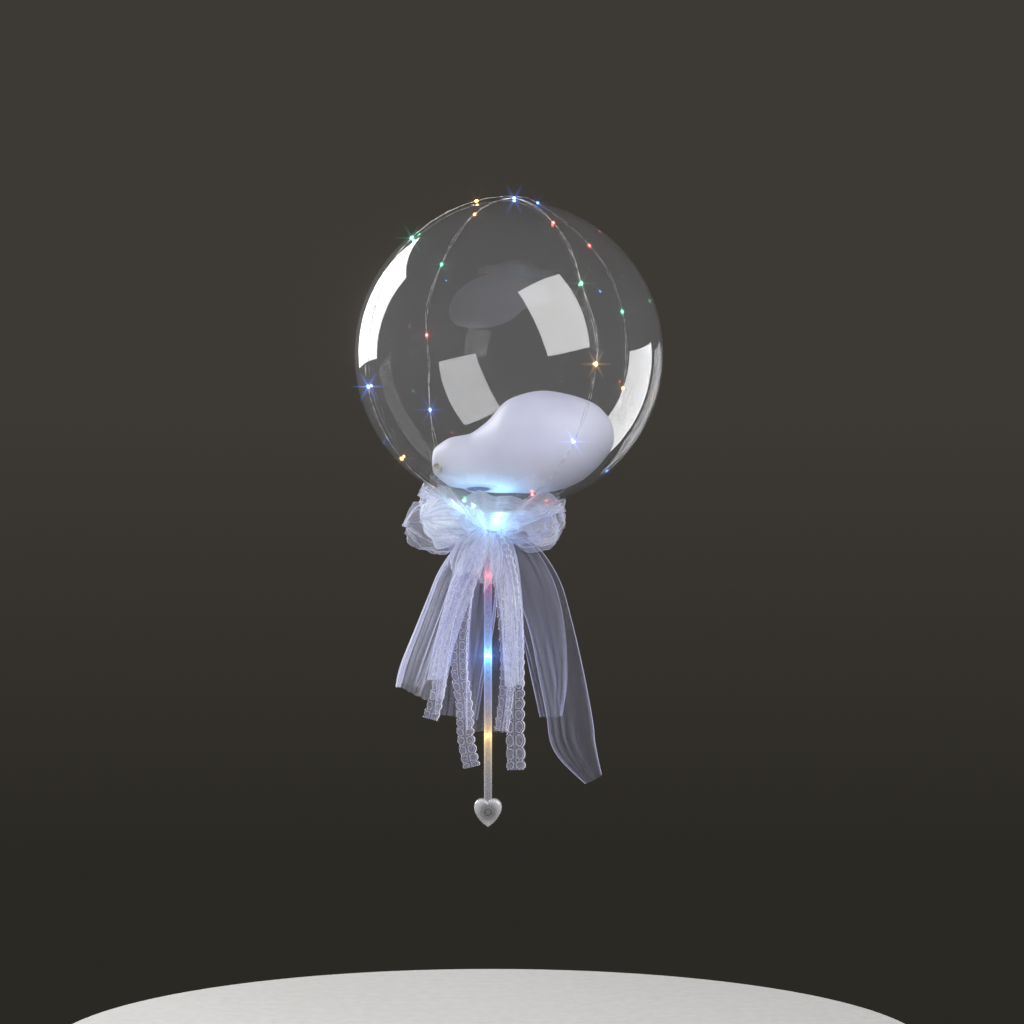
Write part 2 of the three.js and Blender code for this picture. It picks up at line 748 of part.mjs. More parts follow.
// A strip of cloth that hangs from the knot: [x, z, width] down its middle line, and its depth at both ends.
function tail(stations, [topDepth, endDepth]) {
  const middle = stations.map(([x, z]) => new THREE.Vector2(x, z));
  const edge = (side) =>
    middle.map((point, i) => {
      const ahead = middle[Math.min(i + 1, middle.length - 1)];
      const behind = middle[Math.max(i - 1, 0)];
      const along = ahead.clone().sub(behind).normalize();
      const half = (side * stations[i][2]) / 2;
      return new THREE.Vector2(point.x - along.y * half, point.y + along.x * half);
    });
  const outline = new THREE.Shape([...edge(1), ...edge(-1).reverse()]);
  const top = stations[0][1];
  const end = stations[stations.length - 1][1];
  const depthAt = (z) => THREE.MathUtils.mapLinear(z, top, end, topDepth, endDepth);
  return leaned(slab(outline, [0, CLOTH_THICKNESS]), depthAt);
}

const TULLE_TAILS = {
  tulle_tail_left: {
    depth: [-16.5, -14],
    stations: [
      [-10, 314, 22],
      [-34, 270, 44],
      [-56, 205, 58],
      [-82, 126, 64],
    ],
  },
  tulle_tail_right: {
    depth: [-9.5, -8],
    stations: [
      [12, 314, 24],
      [46, 290, 46],
      [68, 204, 54],
      [88, 128, 52],
      [106, 66, 54],
      [134, 26, 26],
    ],
  },
  tulle_tail_back: {
    depth: [11, 16],
    stations: [
      [0, 314, 30],
      [-10, 262, 62],
      [-20, 160, 88],
      [-26, 74, 92],
    ],
  },
};

const LACE_TAILS = {
  lace_tail_left: {
    depth: [-27, -25],
    stations: [
      [-8, 312, 16],
      [-26, 262, 23],
      [-38, 205, 24],
      [-44, 150, 24],
      [-69, 98, 23],
    ],
  },
  lace_tail_middle: {
    depth: [-23.5, -21],
    stations: [
      [-6, 308, 16],
      [-20, 245, 21],
      [-30, 180, 22],
      [-27, 90, 22],
      [-19, 45, 22],
    ],
  },
  lace_tail_right: {
    depth: [-20, -18],
    stations: [
      [10, 314, 20],
      [24, 260, 27],
      [30, 180, 27],
      [34, 110, 24],
      [35, 42, 24],
    ],
  },
  lace_tail_short: {
    depth: [-13, -12],
    stations: [
      [8, 308, 16],
      [20, 230, 22],
      [25, 150, 22],
      [18, 92, 20],
    ],
  },
};

add("bow_knot", ring(CUP_STEM_RADIUS + GAP, KNOT_RADIUS, ...KNOT_Z, MEDIUM_SIDES), LOOKS.tulle);
add("bow_puff_left", puff([-60, -26, 342], [42, 24, 31]), LOOKS.tulle);
add("bow_puff_right", puff([54, -33, 339], [36, 24, 28]), LOOKS.tulle);
add("bow_loops_back", backLoops(), LOOKS.tulle);
for (const [name, { stations, depth }] of Object.entries(TULLE_TAILS)) {
  add(name, tail(stations, depth), LOOKS.tulle);
}
for (const [name, { stations, depth }] of Object.entries(LACE_TAILS)) {
  add(name, tail(stations, depth), LOOKS.lace);
}

export default group;
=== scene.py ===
"""The looks of a light-up bubble balloon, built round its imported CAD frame. Metres, +Z up, -Y the front."""

import math

import bpy
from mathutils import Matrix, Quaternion, Vector, noise


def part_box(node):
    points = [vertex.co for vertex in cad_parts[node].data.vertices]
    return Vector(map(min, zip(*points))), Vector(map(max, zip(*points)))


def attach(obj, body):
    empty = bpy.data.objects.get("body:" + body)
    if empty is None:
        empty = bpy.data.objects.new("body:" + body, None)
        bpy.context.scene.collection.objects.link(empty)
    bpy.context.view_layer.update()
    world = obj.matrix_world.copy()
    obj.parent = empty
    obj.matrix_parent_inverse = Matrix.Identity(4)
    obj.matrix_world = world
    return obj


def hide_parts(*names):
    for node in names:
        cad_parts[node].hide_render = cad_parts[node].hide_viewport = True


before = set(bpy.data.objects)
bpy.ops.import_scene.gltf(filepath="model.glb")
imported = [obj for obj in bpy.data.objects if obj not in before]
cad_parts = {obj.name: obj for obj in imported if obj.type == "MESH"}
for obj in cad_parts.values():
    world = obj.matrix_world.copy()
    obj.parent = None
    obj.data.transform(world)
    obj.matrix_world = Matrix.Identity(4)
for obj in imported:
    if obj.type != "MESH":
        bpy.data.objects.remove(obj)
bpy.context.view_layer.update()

MM = 0.001
UP = Vector((0, 0, 1))
FRONT = Vector((0, -1, 0))


def new_object(name, data):
    made = bpy.data.objects.new(name, data)
    bpy.context.scene.collection.objects.link(made)
    return made


# ---- camera: level with the middle of the object, straight on ----

CAMERA_AIM = Vector((0.030, 0, 0.361))
CAMERA_DISTANCE = 3.5
FRAME_WIDTH = 1.28  # metres across the picture at the tube
SENSOR_WIDTH = 36


def make_camera():
    data = bpy.data.cameras.new("camera")
    data.sensor_width = SENSOR_WIDTH
    data.lens = SENSOR_WIDTH * CAMERA_DISTANCE / FRAME_WIDTH
    camera = new_object("camera", data)
    camera.location = CAMERA_AIM + FRONT * CAMERA_DISTANCE
    camera.rotation_euler = (math.radians(90), 0, 0)
    bpy.context.scene.camera = camera


make_camera()

# ---- places and sizes that the CAD source gives ----

BUBBLE_RADIUS = 0.1925
BUBBLE_CENTRE = Vector((0.026, 0, 0.5575))
BUBBLE_FOOT = Vector((0, 0, 0.316))
BUBBLE_TURN = UP.rotation_difference(BUBBLE_CENTRE - BUBBLE_FOOT)
NECK_RADIUS = 0.0046
NECK_END = 0.2075
TUBE_RADIUS = 0.005
CUP_RIM_RADIUS = 0.019
CUP_STEM_RADIUS = 0.0075
LIGHT_COUNT = 30
LIGHT_PITCH = 0.100
FIRST_LIGHT = 0.087
STRING_LENGTH = 3.000

# ---- small tools for shapes ----


def smooth(edge_low, edge_high, value):
    share = min(max((value - edge_low) / (edge_high - edge_low), 0), 1)
    return share * share * (3 - 2 * share)


def mix(a, b, share):
    return a + (b - a) * share


def polar(radius, angle, height):
    return Vector((radius * math.cos(angle), radius * math.sin(angle), height))


def through(stations, share):
    """A smooth curve's value at a share of the way through stations, each a tuple of numbers."""
    last = len(stations) - 1
    place = min(max(share, 0), 1) * last
    i = min(int(place), last - 1)
    t = place - i
    before, a, b, after = (Vector(stations[min(max(k, 0), last)]) for k in (i - 1, i, i + 1, i + 2))
    return a + 0.5 * t * (
        (b - before) + t * ((2 * before - 5 * a + 4 * b - after) + t * (3 * (a - b) + after - before))
    )


def piece(name, vertices, faces, looks, body="handle", flat=None):
    """A smooth mesh that rides on a CAD body. flat gives each vertex's place on the uncut cloth."""
    mesh = bpy.data.meshes.new(name)
    mesh.from_pydata([tuple(v) for v in vertices], [], faces)
    for look in looks if isinstance(looks, list) else [looks]:
        mesh.materials.append(look)
    for face in mesh.polygons:
        face.use_smooth = True
    if flat:
        layer = mesh.uv_layers.new(name="cloth")
        for loop in mesh.loops:
            layer.data[loop.index].uv = flat[loop.vertex_index]
    mesh.validate()
    made = new_object(name, mesh)
    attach(made, body)
    return made


def grid_faces(rows, columns, closed=False):
    wide = columns if closed else columns - 1
    return [
        (
            r * columns + c,
            r * columns + (c + 1) % columns,
            (r + 1) * columns + (c + 1) % columns,
            (r + 1) * columns + c,
        )
        for r in range(rows - 1)
        for c in range(wide)
    ]


def turned(profile, sides, closed=False):
    """Vertices and faces of a body of revolution about Z. A closed profile joins its end to its start."""
    vertices = [polar(r, 2 * math.pi * k / sides, z) for r, z in profile for k in range(sides)]
    faces = grid_faces(len(profile), sides, closed=True)
    if closed:
        last = (len(profile) - 1) * sides
        faces += [(last + k, last + (k + 1) % sides, (k + 1) % sides, k) for k in range(sides)]
    return vertices, faces


def swept(points, radius, sides):
    """Vertices and faces of a round tube along points, closed at both ends."""
    vertices, side = [], Vector((1, 0, 0))
    for i, point in enumerate(points):
        along = (points[min(i + 1, len(points) - 1)] - points[max(i - 1, 0)]).normalized()
        side = (side - along * side.dot(along)).normalized()
        across = along.cross(side)
        for k in range(sides):
            angle = 2 * math.pi * k / sides
            vertices.append(point + radius * (math.cos(angle) * side + math.sin(angle) * across))
    faces = grid_faces(len(points), sides, closed=True)
    faces.append(tuple(reversed(range(sides))))
    faces.append(tuple(range(len(vertices) - sides, len(vertices))))
    return vertices, faces


def joined(*shapes):
    vertices, faces = [], []
    for more_vertices, more_faces in shapes:
        first = len(vertices)
        vertices += more_vertices
        faces += [tuple(first + i for i in face) for face in more_faces]
    return vertices, faces


# ---- small tools for materials ----


class Look:
    """A material or world under construction. Inputs are sockets, numbers, colours or vectors."""

    def __init__(self, name, blocks=bpy.data.materials):
        self.block = blocks.new(name)
        self.block.use_nodes = True
        self.tree = self.block.node_tree
        self.tree.nodes.clear()

    def node(self, kind, inputs=(), **settings):
        made = self.tree.nodes.new("ShaderNode" + kind)
        for key, value in settings.items():
            setattr(made, key, value)
        for key, value in dict(inputs).items():
            if isinstance(value, bpy.types.NodeSocket):
                self.tree.links.new(value, made.inputs[key])
            else:
                made.inputs[key].default_value = value
        return made

    def maths(self, operation, *values):
        return self.node("Math", dict(enumerate(values)), operation=operation).outputs[0]

    def scaled(self, value, factor, plus=0.0):
        return self.maths("MULTIPLY_ADD", value, factor, plus)

    def vectors(self, operation, *values, output="Vector"):
        return self.node("VectorMath", dict(enumerate(values)), operation=operation).outputs[output]

    def place(self):
        """Where a point of the surface is in the piece's own frame, in metres."""
        return self.node("TexCoord").outputs["Object"]

    def facing(self):
        """0 where the surface is seen square on, 1 where it is seen edge on."""
        return self.node("LayerWeight", {"Blend": 0.5}).outputs["Facing"]

    def colours(self, kind, first, second, share=1.0, **settings):
        inputs = {0: share, 6: first, 7: second}
        return self.node("Mix", inputs, data_type="RGBA", blend_type=kind, **settings).outputs[2]

    def blend(self, share, first, second):
        """A share of the second shader over the first."""
        return self.node("MixShader", {0: share, 1: first.outputs[0], 2: second.outputs[0]})

    def ramp(self, value, stops):
        made = self.node("ValToRGB", {"Fac": value})
        elements = made.color_ramp.elements
        while len(elements) < len(stops):
            elements.new(0.5)
        for element, (place, colour) in zip(elements, stops):
            element.position = place
            element.color = (*colour, 1)
        return made.outputs["Color"]

    def noise(self, scale, detail=3, roughness=0.5, vector=None):
        inputs = {"Vector": vector or self.place(), "Scale": scale, "Detail": detail, "Roughness": roughness}
        return self.node("TexNoise", inputs).outputs["Fac"]

    def bump(self, height, distance, strength, rounding=0.0):
        """rounding is how wide the edges of the piece are softened."""
        inputs = {"Height": height, "Distance": distance, "Strength": strength}
        if rounding:
            inputs["Normal"] = self.node("Bevel", {"Radius": rounding}, samples=6).outputs["Normal"]
        return self.node("Bump", inputs).outputs["Normal"]

    def done(self, shader, output="OutputMaterial"):
        self.node(output, {"Surface": shader.outputs[0]})
        return self.block


def moulded(name, dark, light, roughness, grain=900, metallic=0.0, coat=0.0, rounding=0.0, painted_shading=None):
    """Moulded or rolled stock: a fine grain, and colour that drifts between two shades. Its last argument
    gives the (middle, reach, dimming) of painted shading: the colour is darker in the middle and lighter
    towards the rim, as painted shade and painted rim highlights."""
    look = Look(name)
    drift = look.noise(60, detail=4)
    fine = look.noise(grain, detail=2)
    colour = look.ramp(drift, [(0.35, dark), (0.65, light)])
    # painted shading: the colour is darkened towards the middle and stays light at the rim, for shade and rim
    # highlights
    if painted_shading:
        middle, reach, dimming = painted_shading
        across = look.vectors("MULTIPLY", look.place(), (1 / reach, 0, 1 / reach))
        away = look.vectors("DISTANCE", across, middle / reach, output="Value")
        wall = look.ramp(away, [(0.48, (dimming, dimming, dimming)), (1.0, (1, 1, 1))])
        colour = look.colours("MULTIPLY", colour, wall)
    shade = {
        "Base Color": colour,
        "Metallic": metallic,
        "Roughness": look.scaled(fine, 0.12, roughness - 0.06),
        "Coat Weight": coat,
        "Normal": look.bump(fine, 0.00004, 0.35, rounding),
    }
    return look.done(look.node("BsdfPrincipled", shade))


def film_look():
    """Thin clear film: it mirrors more at a slant, and is very slightly hazy where it was stretched."""
    look = Look("bubble_film")
    mirror = look.scaled(look.maths("POWER", look.facing(), 4.0), 0.60, 0.085)
    wrinkles = look.bump(look.noise(7, detail=2), 0.004, 0.05)
    gloss = look.node("BsdfGlossy", {"Color": (1, 1, 1, 1), "Roughness": 0.018, "Normal": wrinkles})
    clear = look.node("BsdfTransparent", {"Color": (0.975, 0.978, 0.985, 1)})
    haze = look.node("BsdfTranslucent", {"Color": (0.8, 0.82, 0.88, 1)})
    cloudy = look.scaled(look.noise(11, detail=5), 0.040, 0.034)
    return look.done(look.blend(mirror, look.blend(cloudy, clear, haze), gloss))


def latex_look():
    """White latex, matt, a little more lilac where it is stretched most, with painted shade down in its
    crease.
    """
    look = Look("latex")
    drift = look.noise(14)
    fine = look.noise(420)
    white = look.ramp(drift, [(0.3, (0.53, 0.53, 0.68)), (0.7, (0.61, 0.62, 0.72))])
    # Painted shade: the colour darkens towards the middle of the crease.
    shares = look.vectors("DIVIDE", look.vectors("SUBTRACT", look.place(), CREASE), CREASE_SHADE)
    out_of_crease = look.vectors("LENGTH", shares, output="Value")
    shaded = look.ramp(out_of_crease, [(0.62, (0.09, 0.11, 0.20)), (0.95, (1, 1, 1))])
    shade = {
        "Base Color": look.colours("MULTIPLY", white, shaded),
        "Roughness": look.scaled(fine, 0.10, 0.34),
        "Subsurface Weight": 0.35,
        "Subsurface Radius": (0.9, 0.8, 1.0),
        "Subsurface Scale": 0.012,
        "Specular IOR Level": 0.35,
        "Normal": look.bump(fine, 0.00005, 0.3),
    }
    return look.done(look.node("BsdfPrincipled", shade))


def clear_plastic_look(name, body_share, glow=()):
    """Clear drawn plastic, greyer where it is seen edge on. glow lists painted glow along Z, emission in the
    plastic that stands in for the light of lamps inside: (height, colour, reach, strength)."""
    look = Look(name)
    black = (0, 0, 0, 1)
    fine = look.noise(380)
    milky = {"Base Color": (0.50, 0.50, 0.55, 1), "Roughness": look.scaled(fine, 0.04, 0.14)}
    # Painted glow: emission in the plastic itself, for the lamps' light.
    if glow:
        height = look.node("SeparateXYZ", {0: look.place()}).outputs["Z"]
        total = black
        for centre, colour, reach, strength in glow:
            away = look.maths("DIVIDE", look.maths("SUBTRACT", height, centre), reach)
            near = look.maths("EXPONENT", look.scaled(look.maths("ABSOLUTE", away), -1.0))
            bright = look.scaled(near, strength)
            lit = look.colours("MIX", black, (*colour, 1), bright, clamp_factor=False)
            total = look.colours("ADD", total, lit)
        milky["Emission Color"] = total
        milky["Emission Strength"] = 1.0
    solid = look.node("BsdfPrincipled", milky)
    clear = look.node("BsdfTransparent", {"Color": (0.93, 0.94, 0.95, 1)})
    share = look.scaled(look.maths("POWER", look.facing(), 1.5), 0.75, body_share)
    return look.done(look.blend(share, clear, solid))


def wire_look():
    """Enamelled copper wire with a silvery tin coat, brighter and duller by turns."""
    look = Look("bare_wire")
    patches = look.noise(160)
    shade = {
        "Base Color": look.ramp(patches, [(0.40, (0.24, 0.21, 0.18)), (0.62, (0.95, 0.92, 0.88))]),
        "Metallic": 0.7,
        "Roughness": look.scaled(patches, 0.2, 0.25),
    }
    return look.done(look.node("BsdfPrincipled", shade))


def resin_look(name, colour):
    """A drop of clear resin that carries some of its lamp's light, painted in as a glow of its own."""
    look = Look(name)
    fine = look.noise(700, detail=2)
    shade = {
        "Base Color": (*[mix(0.8, c, 0.5) for c in colour], 1),
        "Roughness": look.scaled(fine, 0.1, 0.08),
        "Emission Color": (*colour, 1),
        "Emission Strength": 1.6,
    }
    drop = look.node("BsdfPrincipled", shade)
    clear = look.node("BsdfTransparent")
    share = look.scaled(look.facing(), 0.5, 0.3)
    return look.done(look.blend(share, clear, drop))


def lamp_look(name, colour, strength):
    """The lit chip inside a drop, nearly white in its hottest patches."""
    look = Look(name)
    hot = tuple(mix(c, 1.0, 0.12) for c in colour)
    patches = look.ramp(look.noise(900, detail=1), [(0.3, colour), (0.6, hot)])
    return look.done(look.node("Emission", {"Color": patches, "Strength": strength}))


NET_CELL = 0.0015  # across one hole of the net


def net_threads(look, weave, cell, thread):
    """1 on the threads of a net of that cell, 0 in its holes."""
    inputs = {"Vector": weave, "Scale": 1 / cell, "Randomness": 0.9}
    cells = look.node("TexVoronoi", inputs, feature="DISTANCE_TO_EDGE", voronoi_dimensions="2D")
    return look.maths("LESS_THAN", cells.outputs["Distance"], thread)


def cloth_shader(look, colour, cover, bump=None):
    """Thin cloth that covers a share of what is behind it and lets a third of its light through. The sheen of
    its threads closes the holes where it is seen edge on."""
    surface = {"Color": colour}
    if bump is not None:
        surface["Normal"] = bump
    front = look.node("BsdfDiffuse", surface)
    back = look.node("BsdfTranslucent", surface)
    clear = look.node("BsdfTransparent")
    slant = look.maths("POWER", look.facing(), 2.5)
    share = look.maths("MINIMUM", look.scaled(slant, 0.85, cover), 0.97)
    return look.blend(share, clear, look.blend(0.35, front, back))


def tulle_look(name, thread, blur, shades=((0.70, 0.72, 0.90), (0.84, 0.85, 0.95))):
    """Nylon net: fine threads round open holes, with a soft cover between them where fibres stand out."""
    look = Look(name)
    weave = look.node("UVMap", uv_map="cloth").outputs[0]
    threads = net_threads(look, weave, NET_CELL, thread)
    drawn = look.vectors("MULTIPLY", weave, (420, 26, 1))
    streaks = look.noise(1, detail=4, roughness=0.6, vector=drawn)
    bunched = look.maths("POWER", streaks, 1.6)
    soft = look.scaled(bunched, 2.1 * blur, 0.15 * blur)
    cover = look.scaled(threads, 0.35, soft)
    colour = look.ramp(streaks, [(0.3, shades[0]), (0.7, shades[1])])
    return look.done(cloth_shader(look, colour, cover))


LACE_PITCH = 0.0120  # along one scallop
LACE_SCALLOP = 0.24  # how deep one is cut, as a share of half the width
LACE_NET_CELL = 0.0012


def lace_look(name, width):
    """Embroidered net: corded scallops on both edges, a leaf in each scallop, two veins down the middle."""
    look = Look(name)
    weave = look.node("UVMap", uv_map="cloth").outputs[0]
    wander = look.node("TexNoise", {"Vector": weave, "Scale": 240.0, "Detail": 2.0}).outputs["Color"]
    parts = look.node("SeparateXYZ", {0: look.vectors("MULTIPLY_ADD", wander, (0.0022, 0.0022, 0), weave)})
    across = look.maths("ABSOLUTE", parts.outputs["X"])  # metres from the middle
    turns = look.maths("DIVIDE", parts.outputs["Y"], LACE_PITCH)
    phase = look.maths("SUBTRACT", look.maths("FRACT", turns), 0.5)  # from -0.5 to 0.5 over one scallop
    half = width / 2

    def band(value, centre, thickness):
        """1 where value is within half a thickness of centre."""
        return look.maths("COMPARE", value, centre, thickness / 2)

    wave = look.maths("COSINE", look.scaled(phase, math.pi))
    arch = look.maths("SQRT", look.maths("ABSOLUTE", wave))
    edge = look.scaled(arch, LACE_SCALLOP * half, (1 - LACE_SCALLOP) * half)
    inward = look.maths("SUBTRACT", edge, across)
    leaf_x = look.maths("DIVIDE", look.maths("SUBTRACT", across, 0.45 * half), 0.34 * half)
    leaf_y = look.maths("DIVIDE", phase, 0.44)
    squares = [look.maths("POWER", share, 2.0) for share in (leaf_x, leaf_y)]
    leaf = look.maths("SQRT", look.maths("ADD", *squares))
    mottle = look.scaled(look.noise(420, vector=weave), 0.62)
    filling = look.scaled(look.maths("LESS_THAN", leaf, 0.68), mottle)
    ring = look.scaled(band(leaf, 0.92, 0.22), 0.62)
    vein = look.scaled(band(across, 0.0014, 0.0010), 0.50)
    cords = band(inward, 0.0006, 0.0014)
    for more in (ring, filling, vein):
        cords = look.maths("MAXIMUM", cords, more)
    net = look.scaled(net_threads(look, weave, LACE_NET_CELL, 0.14), 0.22, 0.14)
    cover = look.maths("MAXIMUM", net, look.scaled(cords, 0.80))
    tint = look.ramp(cords, [(0.2, (0.47, 0.48, 0.74)), (0.8, (0.86, 0.85, 0.95))])
    return look.done(cloth_shader(look, tint, cover, look.bump(cords, 0.0004, 0.6)))


YELLOW, BLUE, RED, GREEN = (1.0, 0.55, 0.08), (0.02, 0.19, 1.0), (1.0, 0.07, 0.05), (0.03, 0.95, 0.50)
COLOURS = [("yellow", YELLOW), ("blue", BLUE), ("red", RED), ("green", GREEN)]  # in the string's order

# ---- the bubble ----

BUBBLE_SIDES = 160
BUBBLE_ROWS = 96
GATHERS = 18  # folds of film round the neck
GATHER_ANGLE = math.radians(20)
GATHER_DEPTH = 0.06  # as a share of the radius
POLE = 0.0001  # radius of the last ring of a body of revolution


def on_head(point):
    """From the bubble's own frame, with its centre at the origin and its neck straight down."""
    return BUBBLE_TURN @ point + BUBBLE_CENTRE


def make_bubble():
    last = math.pi - math.asin(1.25 * NECK_RADIUS / BUBBLE_RADIUS)
    angles = [last * i / BUBBLE_ROWS for i in range(BUBBLE_ROWS + 1)]
    profile = [(BUBBLE_RADIUS * math.sin(a), BUBBLE_RADIUS * math.cos(a)) for a in angles]
    profile += [(NECK_RADIUS, mix(-BUBBLE_RADIUS, -NECK_END, share)) for share in (0.15, 0.4, 0.7, 1.0)]
    profile[0] = (POLE, BUBBLE_RADIUS)
    vertices, faces = turned(profile, BUBBLE_SIDES)
    placed = []
    for v in vertices:
        turn = math.atan2(v.y, v.x)
        from_neck = math.pi - math.acos(max(-1, min(1, v.z / BUBBLE_RADIUS)))
        depth = GATHER_DEPTH * max(0, 1 - from_neck / GATHER_ANGLE) ** 2
        out = 1 + depth * (math.sin(GATHERS * turn) - 0.6)
        placed.append(on_head(Vector((v.x * out, v.y * out, v.z))))
    faces.append(tuple(reversed(range(BUBBLE_SIDES))))
    skin = piece("bubble_film", placed, [f[::-1] for f in faces], film_look())
    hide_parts("bubble_skin")


def make_neck_tie():
    """Nearly four turns of cord round the neck, a little uneven."""
    turns, steps, thickness = 3.6, 90, 0.0012
    points = []
    for i in range(steps + 1):
        angle = 2 * math.pi * turns * i / steps
        wander = 0.0002 * math.sin(3.1 * angle)
        radius = NECK_RADIUS + 0.0009 + wander
        height = mix(-NECK_END + 0.0026, -NECK_END + 0.0055, i / steps)
        points.append(on_head(polar(radius, angle, height)))
    cord = moulded("tie_cord", (0.55, 0.54, 0.58), (0.75, 0.74, 0.78), 0.8, grain=1500)
    tie = piece("neck_cord", *swept(points, thickness / 2, 8), cord)
    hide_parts("neck_tie")


make_bubble()
make_neck_tie()

# ---- the latex balloon ----

# Its sections along X: place, radius and the height of its middle.
LATEX_SECTIONS = [
    (-70, 0, 424), (-69.4, 8, 424), (-66, 17, 425), (-50, 29, 424.5), (-34, 34, 423), (-20, 37.5, 422.5),
    (0, 45.5, 430), (19, 56.5, 441), (38, 61.5, 446), (65, 64, 448), (91, 61, 449), (116, 52.5, 451.5),
    (135, 40, 455), (150, 23, 456), (156.5, 10, 455.5), (157.5, 0, 455),
]
LATEX_ROWS = 120
LATEX_SIDES = 160
CREASE = Vector((-0.012, -0.022, 0.3895))
CREASE_REACH = Vector((0.018, 0.030, 0.0028))
CREASE_DEPTH = 0.024
CREASE_SHADE = Vector((0.021, 0.060, 0.0042))  # half the size of the painted shade in its material
MOUTH = Vector((-0.0625, -0.0205, 0.4170))
MOUTH_OUT = Vector((-0.45, -0.85, -0.2)).normalized()
MOUTH_RADIUS = 0.0046


def latex_point(share, turn):
    x, radius, middle = through(LATEX_SECTIONS, share) * MM
    point = Vector((x, radius * math.cos(turn), middle + radius * math.sin(turn)))
    sag = noise.noise(point * 14) * 0.0022 + noise.noise(point * 45) * 0.0004
    away = point - Vector((x, 0, middle))
    out = away.normalized() if away.length > 1e-6 else Vector((-1 if share < 0.5 else 1, 0, 0))
    point += out * sag
    offset = point - CREASE
    slit = math.exp(-sum((offset[k] / CREASE_REACH[k]) ** 2 for k in range(3)))
    return point - out * CREASE_DEPTH * slit


def make_latex():
    vertices = []
    for i in range(LATEX_ROWS + 1):
        share = 0.5 - 0.5 * math.cos(math.pi * i / LATEX_ROWS)
        vertices += [latex_point(share, 2 * math.pi * k / LATEX_SIDES) for k in range(LATEX_SIDES)]
    faces = [f[::-1] for f in grid_faces(LATEX_ROWS + 1, LATEX_SIDES, closed=True)]
    skin = piece("latex_skin", vertices, faces, latex_look(), body="inner_balloon")
    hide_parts("latex_balloon")


def make_latex_lip():
    """The rolled lip of the mouth, with the short crumpled neck behind it, tucked against the skin."""
    turn = UP.rotation_difference(MOUTH_OUT)
    roll, rows, sides = 0.0015, 10, 40
    bends = [2 * math.pi * j / rows for j in range(rows)]
    profile = [(MOUTH_RADIUS + roll * math.cos(bend), roll * math.sin(bend)) for bend in bends]
    rim = turned(profile, sides, closed=True)
    for v in rim[0]:
        v.xy *= 1 + 0.06 * math.sin(3 * math.atan2(v.y, v.x) + 0.5)
    funnel = turned([(MOUTH_RADIUS, 0), (0.0030, -0.0008), (0.0012, -0.0002), (0.0002, 0.0002)], sides)
    vertices, faces = joined(rim, funnel)
    placed = [turn @ v + MOUTH + MOUTH_OUT * 0.0010 for v in vertices]
    look = moulded("latex_lip", (0.30, 0.28, 0.23), (0.56, 0.53, 0.48), 0.5, grain=700)
    lip = piece("latex_lip", placed, faces, look, body="inner_balloon")


make_latex()
make_latex_lip()

# ---- the string of lights: its route repeats the CAD source's ----

WIRE_STANDOFF = 0.0026
MERIDIAN_STEP = 8
CROSSING_LIFT = 0.003
CROSSING_WIDTH = 18
SIDESTEP = 0.024
SIDESTEP_FROM = -0.012
SIDESTEP_FULL = 0.085
DRIFT = 60
CLIMB_1 = {"start": 8, "neck": 145, "side": 122, "top": 130}
FALL_1 = {"start": 20, "neck": -66, "side": -57, "top": -75}
CLIMB_2 = {"start": 20, "neck": -146, "side": -154, "top": -150}
FALL_2 = {"start": 8, "neck": 32, "side": 39, "top": 66}
OUTER_LOOP = {"lift": CROSSING_LIFT}
INNER_LOOP = {"sidestep": SIDESTEP}
UP_THE_TUBE = [
    (0, -1, -5.6), (0, 0, 8), (0, 0, 325), (-0.8, 0.4, 341),
    (-4.5, 3, 349), (-8.5, 8, 355.5), (-11, 12, 360.5), (-13.5, 15, 364.5),
]
PAST_THE_NECK = [(17, -76), (15.5, -91), (15, -106), (15.5, -121), (17, -136)]
WINDING_RADIUS = 0.0166
WINDING_PITCH = 0.003
WINDING_TOP = 0.352
WINDING_SIDES = 24
WINDING_START = math.radians(22)
WINDING_FLARE = 0.007
WINDING_RISE = 0.012
WINDING_DRAW = 3


def on_bubble(from_neck, direction, lift=0.0, sidestep=0.0):
    down, turn = math.radians(from_neck), math.radians(direction)
    near_top = math.exp(-(((180 - from_neck) / CROSSING_WIDTH) ** 2))
    radius = BUBBLE_RADIUS + WIRE_STANDOFF + lift * near_top
    spot = BUBBLE_TURN @ polar(math.sin(down), turn, -math.cos(down)) * radius
    spot.x -= sidestep * smooth(SIDESTEP_FROM, SIDESTEP_FULL, spot.z)
    return spot.normalized() * radius + BUBBLE_CENTRE


def way_up(loop, start, neck, side, top):
    steps = round((180 - start) / MERIDIAN_STEP)
    stations = []
    for i in range(steps):
        from_neck = start + (180 - start) * i / steps
        near_neck = max(0, 1 - from_neck / DRIFT) ** 2
        near_top = max(0, 1 - (180 - from_neck) / DRIFT) ** 2
        direction = side + (neck - side) * near_neck + (top - side) * near_top
        stations.append(on_bubble(from_neck, direction, **loop))
    return stations


def over_top(loop, climb, fall):
    return [*way_up(loop, **climb), on_bubble(180, 0, **loop), *reversed(way_up(loop, **fall))]


def length_of(points):
    return sum((b - a).length for a, b in zip(points, points[1:]))


def winding(length):
    stations, i = [], 0
    while len(stations) < 2 or length_of(stations) < length:
        angle = WINDING_START - i * 2 * math.pi / WINDING_SIDES
        loose = math.exp(-i / WINDING_DRAW)
        radius = WINDING_RADIUS + WINDING_FLARE * loose
        height = WINDING_TOP - i * WINDING_PITCH / WINDING_SIDES + WINDING_RISE * loose
        stations.append(polar(radius, angle, height))
        i += 1
    return stations


def string_route():
    held = [
        *(Vector(p) * MM for p in UP_THE_TUBE),
        *over_top(INNER_LOOP, CLIMB_1, FALL_1),
        *(on_bubble(*p) for p in PAST_THE_NECK),
        *over_top(OUTER_LOOP, CLIMB_2, FALL_2),
    ]
    return held + winding(STRING_LENGTH - length_of(held))


def along(route, distance):
    """The point this far along a route, and its direction there."""
    for a, b in zip(route, route[1:]):
        stretch = (b - a).length
        if distance <= stretch:
            return a.lerp(b, distance / stretch), (b - a).normalized()
        distance -= stretch
    return route[-1], (route[-1] - route[-2]).normalized()


